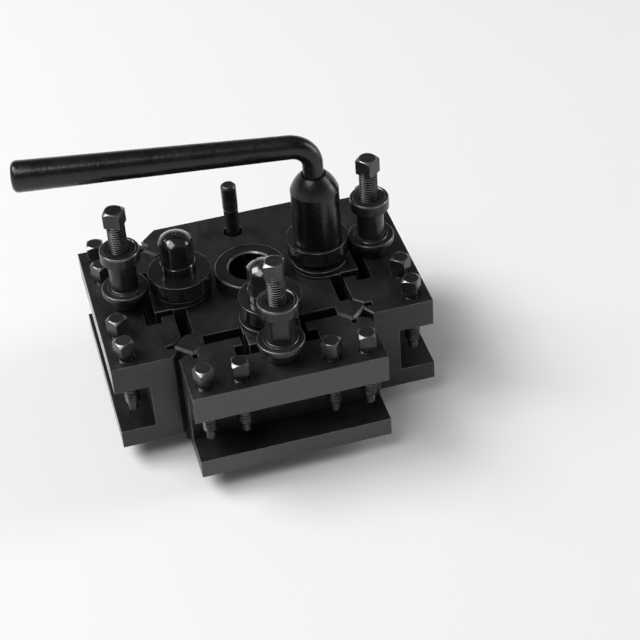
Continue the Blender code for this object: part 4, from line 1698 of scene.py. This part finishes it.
@dataclass
class HeightNut:
    """The spool-shaped nut: a collar to turn it by, a neck, and the flange it stops with.

    The front one has two flats on its neck, and the right one has a small hole for a tommy bar.
    """

    plan: Plan = field(default_factory=Plan)
    bore: float = 0.0062
    hub: float = 0.0095
    neck: float = 0.0086
    flange: float = 0.0146
    flange_foot: float = 0.0098
    flange_height: float = 0.0042
    collar: float = 0.0124
    collar_foot: float = 0.0348
    top: float = 0.0432
    flats: float = 0.0073
    flats_height: tuple[float, float] = (0.0172, 0.0292)
    tommy_hole: float = 0.0013
    tommy_height: float = 0.0325
    clear: float = 0.02  # how far the cutters reach from the axis
    turns: dict[Side, float] = field(
        default_factory=lambda: {Side.LEFT: 0.0, Side.FRONT: -10.0, Side.RIGHT: 52.0}
    )

    def profile(self, height: float) -> list[Point]:
        """The nut's section, from the bore's mouth down its outside.

        Args:
            height: The height of the holder's top face.

        Returns:
            Its points in order.
        """
        flange_foot = height + self.flange_foot
        flange_top = flange_foot + self.flange_height
        collar_foot, top = height + self.collar_foot, height + self.top
        rim = arc((self.collar - 0.0011, top - 0.0011), 0.0011, 90.0, 0.0, 5)
        edge = arc((self.flange - 0.0010, flange_top - 0.0010), 0.0010, 90.0, 0.0, 4)
        return [
            (self.bore + 0.0008, top - 0.0003),
            (self.collar - 0.0024, top - 0.0003),
            (self.collar - 0.0019, top),
            *rim,
            (self.collar, collar_foot + 0.0009),
            (self.collar - 0.0009, collar_foot),
            (self.neck + 0.0011, collar_foot),
            (self.neck, collar_foot - 0.0010),
            (self.neck, flange_top + 0.0006),
            (self.neck + 0.0006, flange_top + 0.0003),
            (self.neck + 0.0019, flange_top + 0.0003),
            (self.neck + 0.0022, flange_top),
            *edge,
            (self.flange, flange_foot + 0.0006),
            (self.flange - 0.0006, flange_foot),
            (self.hub, flange_foot),
            (self.hub, height + THREAD_GAP + 0.0006),
            (self.hub - 0.0006, height + THREAD_GAP),
            (self.bore, height + THREAD_GAP),
            (self.bore, top - 0.0011),
            (self.bore + 0.0008, top - 0.0003),
        ]

    def build(self, height: float, side: Side) -> bpy.types.Mesh:
        """Turns the nut, and mills its flats or drills its tommy hole.

        Args:
            height: The height of the holder's top face.
            side: The side that it is for; the nuts on the three sides differ.

        Returns:
            Its mesh.
        """
        nut = Workpiece.turned(self.profile(height), NUT_ROUND)
        top = height + self.top
        for face in nut.shape.faces:
            middle = face.calc_center_median()
            outer = math.hypot(middle.x, middle.y)
            if 0.15 < face.normal.z < 0.97 and outer > self.neck + 0.0015:
                face[nut.worn] = 1.0 if middle.z > top - 0.002 else 0.7
        if side is Side.FRONT:
            nut = nut.joined(*self.flat_cutters(height))
        elif side is Side.RIGHT:
            nut = nut.joined((Join.CUT, self.tommy_drill(height)))
        return nut.to_mesh("height_nut")

    def flat_cutters(self, height: float) -> list[tuple[Join, Workpiece]]:
        """The two blocks that mill the neck's flats.

        Args:
            height: The height of the holder's top face.

        Returns:
            Each cutter with how it is joined.
        """
        low, high = (height + share for share in self.flats_height)
        cuts = []
        for way in (-1.0, 1.0):
            near, far = sorted((way * self.flats, way * self.clear))
            cuts.append((Join.CUT, Workpiece.block((near, -self.clear, low), (far, self.clear, high))))
        return cuts

    def tommy_drill(self, height: float) -> Workpiece:
        """The small drill that makes the tommy bar's hole.

        Args:
            height: The height of the holder's top face.

        Returns:
            The cutter, lying across the axis.
        """
        drill = Workpiece.rod(self.tommy_hole, self.bore + 0.0008, self.clear, TINY_ROUND)
        lift = Matrix.Translation((0.0, 0.0, height + self.tommy_height))
        turn = lift @ Matrix.Rotation(math.pi / 2, 4, "X")
        bmesh.ops.transform(drill.shape, matrix=turn, verts=drill.shape.verts)
        return drill

    def dress(self, shop: Workshop) -> None:
        """Puts one nut on each stud, each turned its own way.

        Args:
            shop: The workshop that shows the piece.
        """
        for side in Side:
            mesh = self.build(shop.height, side)
            node = f"height_nut_{side.label}"
            place = shop.side_place(side, self.plan.stud, turn=self.turns[side])
            shop.present(mesh, f"spool_nut_{side.label}", node, [node], "nut_black_oxide", place)


# ---- the wrench ----


@dataclass
class SocketWrench:
    """The cranked wrench on the right-hand spindle: a hexagon socket with a bent, tapering rod."""

    plan: Plan = field(default_factory=Plan)
    foot_stand: float = 0.0198
    radius: float = 0.0152
    height: float = 0.038
    shoulder_height: float = 0.011
    shoulder: float = 0.0078
    shoulder_pull: float = 0.0126
    shoulder_pull_height: float = 0.0070
    foot_chamfer: float = 0.0012
    hex_flats: float = 0.0196
    hex_depth: float = 0.0266
    relief: float = 0.0117
    relief_depth: float = 0.0058
    rod: float = 0.0065
    root: float = 0.0074
    end: float = 0.0098
    seat_depth: float = 0.008
    axis_height: float = 0.090
    bend: float = 0.0135
    reach: float = 0.181
    tip_round: float = 0.0036
    angle: float = 170.7
    dome_steps: int = 10
    bend_steps: int = 14
    straight_steps: int = 16
    tip_steps: int = 7

    def socket(self, height: float) -> bpy.types.Mesh:
        """Makes the socket about the spindle's axis.

        Args:
            height: The height of the post's top face.

        Returns:
            Its mesh.
        """
        foot = height + self.foot_stand
        bend = foot + self.height
        top = bend + self.shoulder_height
        start = Vector((self.shoulder, top))
        pull = Vector((self.shoulder_pull, bend + self.shoulder_pull_height))
        end = Vector((self.radius, bend))
        dome = [
            tuple(start * (1 - t) ** 2 + pull * 2 * t * (1 - t) + end * t**2)
            for t in (step / self.dome_steps for step in range(self.dome_steps + 1))
        ]
        profile = [
            (self.rod + GAP / 2, top),
            *dome,
            (self.radius, foot + 0.0032),
            (self.radius, foot + self.foot_chamfer),
            (self.radius - self.foot_chamfer, foot),
        ]
        body = Workpiece.turned(profile, FINE_ROUND)
        for face in body.shape.faces:
            middle = face.calc_center_median()
            outer = math.hypot(middle.x, middle.y)
            if face.normal.z < -0.2 and middle.z < foot + 0.0015 and outer > self.relief:
                face[body.worn] = 0.9
        hole = Workpiece.prism(regular_plan(6, self.hex_flats), foot - GAP, foot + self.hex_depth)
        relief = Workpiece.rod(self.relief, foot - GAP, foot + self.relief_depth)
        seat = Workpiece.rod(self.rod + GAP / 3, top - self.seat_depth, top + GAP)
        return body.joined((Join.CUT, hole), (Join.CUT, relief), (Join.CUT, seat)).to_mesh("wrench_socket")

    def route(self, height: float) -> list[tuple[Vector, float]]:
        """The rod's centreline: up from its seat, round the bend and out to its rounded free end.

        Args:
            height: The height of the post's top face.

        Returns:
            Points with the rod's radius at each.
        """
        level = height + self.axis_height
        heading = math.radians(self.angle)
        out = Vector((math.cos(heading), math.sin(heading), 0.0))
        seat = height + self.foot_stand + self.height + self.shoulder_height - self.seat_depth + GAP
        bend_foot = level - self.bend
        heights = (seat, (seat + bend_foot) / 2, bend_foot)
        stations = [(Vector((0.0, 0.0, upward)), self.rod) for upward in heights]
        for step in range(1, self.bend_steps + 1):
            angle = math.pi / 2 * step / self.bend_steps
            rise = Vector((0.0, 0.0, bend_foot + self.bend * math.sin(angle)))
            radius = self.rod + (self.root - self.rod) * step / self.bend_steps
            stations.append((out * self.bend * (1 - math.cos(angle)) + rise, radius))
        rise = Vector((0.0, 0.0, level))
        straight_end = self.reach - self.tip_round
        for step in range(1, self.straight_steps + 1):
            share = step / self.straight_steps
            along = self.bend + (straight_end - self.bend) * share
            stations.append((out * along + rise, self.root + (self.end - self.root) * share))
        for step in range(1, self.tip_steps + 1):
            angle = math.pi / 2 * step / self.tip_steps
            along = straight_end + self.tip_round * math.sin(angle)
            stations.append((out * along + rise, self.end - self.tip_round * (1 - math.cos(angle))))
        return stations

    def handle(self, height: float) -> bpy.types.Mesh:
        """Draws a circle along the route.

        Args:
            height: The height of the post's top face.

        Returns:
            The rod's mesh about the spindle's axis.
        """
        piece = Workpiece(bmesh.new())
        shape = piece.shape
        stations = self.route(height)
        place, radius = stations[0]
        made = bmesh.ops.create_circle(shape, cap_ends=True, segments=BAR_ROUND, radius=radius)
        ring = list(shape.edges)
        bmesh.ops.translate(shape, verts=made["verts"], vec=place)
        heading = Vector((0.0, 0.0, 1.0))
        for index in range(1, len(stations)):
            after, wider = stations[index]
            onward = stations[min(index + 1, len(stations) - 1)][0] - stations[index - 1][0]
            onward.normalize()
            grown = bmesh.ops.extrude_edge_only(shape, edges=ring)["geom"]
            verts = [item for item in grown if isinstance(item, bmesh.types.BMVert)]
            ring = [item for item in grown if isinstance(item, bmesh.types.BMEdge)]
            matrix = (
                Matrix.Translation(after)
                @ heading.rotation_difference(onward).to_matrix().to_4x4()
                @ Matrix.Scale(wider / radius, 4)
                @ Matrix.Translation(-place)
            )
            bmesh.ops.transform(shape, matrix=matrix, verts=verts)
            place, radius, heading = after, wider, onward
        bmesh.ops.contextual_create(shape, geom=ring)
        bmesh.ops.recalc_face_normals(shape, faces=shape.faces)
        return piece.to_mesh("wrench_rod")

    def dress(self, shop: Workshop) -> None:
        """Puts the wrench on the right-hand spindle.

        Args:
            shop: The workshop that shows the piece.
        """
        place = shop.side_place(Side.RIGHT, self.plan.cam)
        socket = self.socket(shop.height)
        shop.present(socket, "socket_end", "wrench", ["wrench_socket"], "wrench_forged_black", place)
        rod = self.handle(shop.height)
        shop.present(rod, "cranked_handle", "wrench", ["wrench_rod"], "wrench_forged_black", place)


# ---- the studio ----


@dataclass(frozen=True)
class SoftLight:
    """A rectangular soft light that looks at the post."""

    name: str
    azimuth: float
    elevation: float
    distance: float
    width: float
    height: float
    power: float

    def hang(self, target: Vector) -> None:
        """Hangs the light facing a point.

        Args:
            target: The point that it faces.
        """
        turn, rise = math.radians(self.azimuth), math.radians(self.elevation)
        away = Vector((math.sin(turn) * math.cos(rise), -math.cos(turn) * math.cos(rise), math.sin(rise)))
        lamp = bpy.data.lights.new(self.name, "AREA")
        lamp.shape = "RECTANGLE"
        lamp.size, lamp.size_y = self.width, self.height
        lamp.energy = self.power
        light = bpy.data.objects.new(self.name, lamp)
        facing = away.to_track_quat("Z", "Y").to_matrix().to_4x4()
        light.matrix_world = Matrix.Translation(target + away * self.distance) @ facing
        bpy.context.scene.collection.objects.link(light)


@dataclass
class Studio:
    """A pale floor under soft light, and the camera."""

    camera_place: tuple[float, float, float] = (-0.154956, -0.881330, 0.792495)
    azimuth: float = -12.628
    elevation: float = 40.213
    roll: float = -4.199
    lens: float = 101.844
    sensor: float = 36.0
    clip: tuple[float, float] = (0.01, 50.0)
    look_height: float = 0.08
    floor_half: float = 3.0
    floor_colour: Colour = (0.90, 0.90, 0.905)
    floor_paler: float = 1.02
    floor_roughness: float = 0.75
    sky_low: Colour = (0.86, 0.86, 0.87)
    sky_high: Colour = (0.10, 0.10, 0.105)
    lights: tuple[SoftLight, ...] = (
        SoftLight("key_softbox", -116.0, 49.0, 2.9, 1.35, 1.35, 50.0),
        SoftLight("side_softbox", 88.0, 20.0, 2.9, 0.9, 2.0, 28.0),
        SoftLight("top_softbox", -70.0, 61.0, 3.5, 2.5, 1.8, 58.0),
    )

    def lay_floor(self) -> None:
        """Makes the floor, which isn't part of the object."""
        shape = bmesh.new()
        bmesh.ops.create_grid(shape, x_segments=2, y_segments=2, size=self.floor_half)
        mesh = bpy.data.meshes.new("studio_floor")
        shape.to_mesh(mesh)
        shape.free()
        material = bpy.data.materials.new("pale_floor")
        material.use_nodes = True
        nodes = Nodes(material.node_tree)
        shader = material.node_tree.nodes["Principled BSDF"]
        place = nodes.add("ShaderNodeTexCoord").outputs["Object"]
        paler = tuple(min(1.0, part * self.floor_paler) for part in self.floor_colour)
        colour = nodes.blend(nodes.noise(place, 3.0), self.floor_colour, paler)
        nodes.feed(shader.inputs["Base Color"], colour)
        shader.inputs["Roughness"].default_value = self.floor_roughness
        mesh.materials.append(material)
        floor = bpy.data.objects.new("studio_floor", mesh)
        bpy.context.scene.collection.objects.link(floor)

    def light_sky(self) -> None:
        """Makes the surroundings: bright near the horizon and dimmer above."""
        world = bpy.data.worlds.new("studio")
        world.use_nodes = True
        nodes = Nodes(world.node_tree)
        place = nodes.add("ShaderNodeTexCoord").outputs["Generated"]
        upright = nodes.add("ShaderNodeSeparateXYZ")
        nodes.feed(upright.inputs[0], place)
        height = nodes.spread(upright.outputs["Z"], 0.05, 0.42)
        colour = nodes.blend(height, self.sky_low, self.sky_high)
        nodes.feed(world.node_tree.nodes["Background"].inputs["Color"], colour)
        bpy.context.scene.world = world

    def set_camera(self, axis: Vector) -> None:
        """Sets up the camera.

        Args:
            axis: The foot of the post's axis.
        """
        turn, rise, roll = (math.radians(angle) for angle in (self.azimuth, self.elevation, self.roll))
        back = Vector((math.sin(turn) * math.cos(rise), -math.cos(turn) * math.cos(rise), math.sin(rise)))
        right = Vector((math.cos(turn), math.sin(turn), 0.0))
        up = back.cross(right)
        leaned_right = right * math.cos(roll) + up * math.sin(roll)
        leaned_up = up * math.cos(roll) - right * math.sin(roll)
        lens = bpy.data.cameras.new("camera")
        lens.lens = self.lens
        lens.sensor_width = self.sensor
        lens.clip_start, lens.clip_end = self.clip
        camera = bpy.data.objects.new("camera", lens)
        frame = Matrix((leaned_right, leaned_up, back)).transposed().to_4x4()
        camera.matrix_world = Matrix.Translation(axis + Vector(self.camera_place)) @ frame
        bpy.context.scene.collection.objects.link(camera)
        bpy.context.scene.camera = camera

    def set_up(self, axis: Vector) -> None:
        """Makes the whole studio.

        Args:
            axis: The foot of the post's axis.
        """
        self.lay_floor()
        self.light_sky()
        target = axis + Vector((0.0, 0.0, self.look_height))
        for light in self.lights:
            light.hang(target)
        self.set_camera(axis)
        bpy.context.scene.view_settings.view_transform = "Standard"


def main() -> None:
    """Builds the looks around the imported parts."""
    logging.basicConfig(level=logging.INFO, format="%(message)s")
    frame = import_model()
    low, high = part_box("centre_bush")
    post_low, post_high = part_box("post_block")
    axis = Vector(((low.x + high.x) / 2, (low.y + high.y) / 2, post_low.z))
    effects = SharedEffects()
    materials = {finish.slot: finish.material(effects) for finish in FINISHES}
    shop = Workshop(axis, post_high.z - post_low.z, materials)
    parts = (PostBlock(), CentreBush(), IndexPin(), CamSpindle(), RetainingRing(), TeeClamp())
    parts += (ToolHolder(), SetScrew(), HeightStud(), HeightNut(), SocketWrench())
    for part in parts:
        part.dress(shop)
    Studio().set_up(axis)
    LOG.info("%d pieces around %d packed nodes", shop.shown, len(frame["nodes"]))


if __name__ == "__main__":
    main()
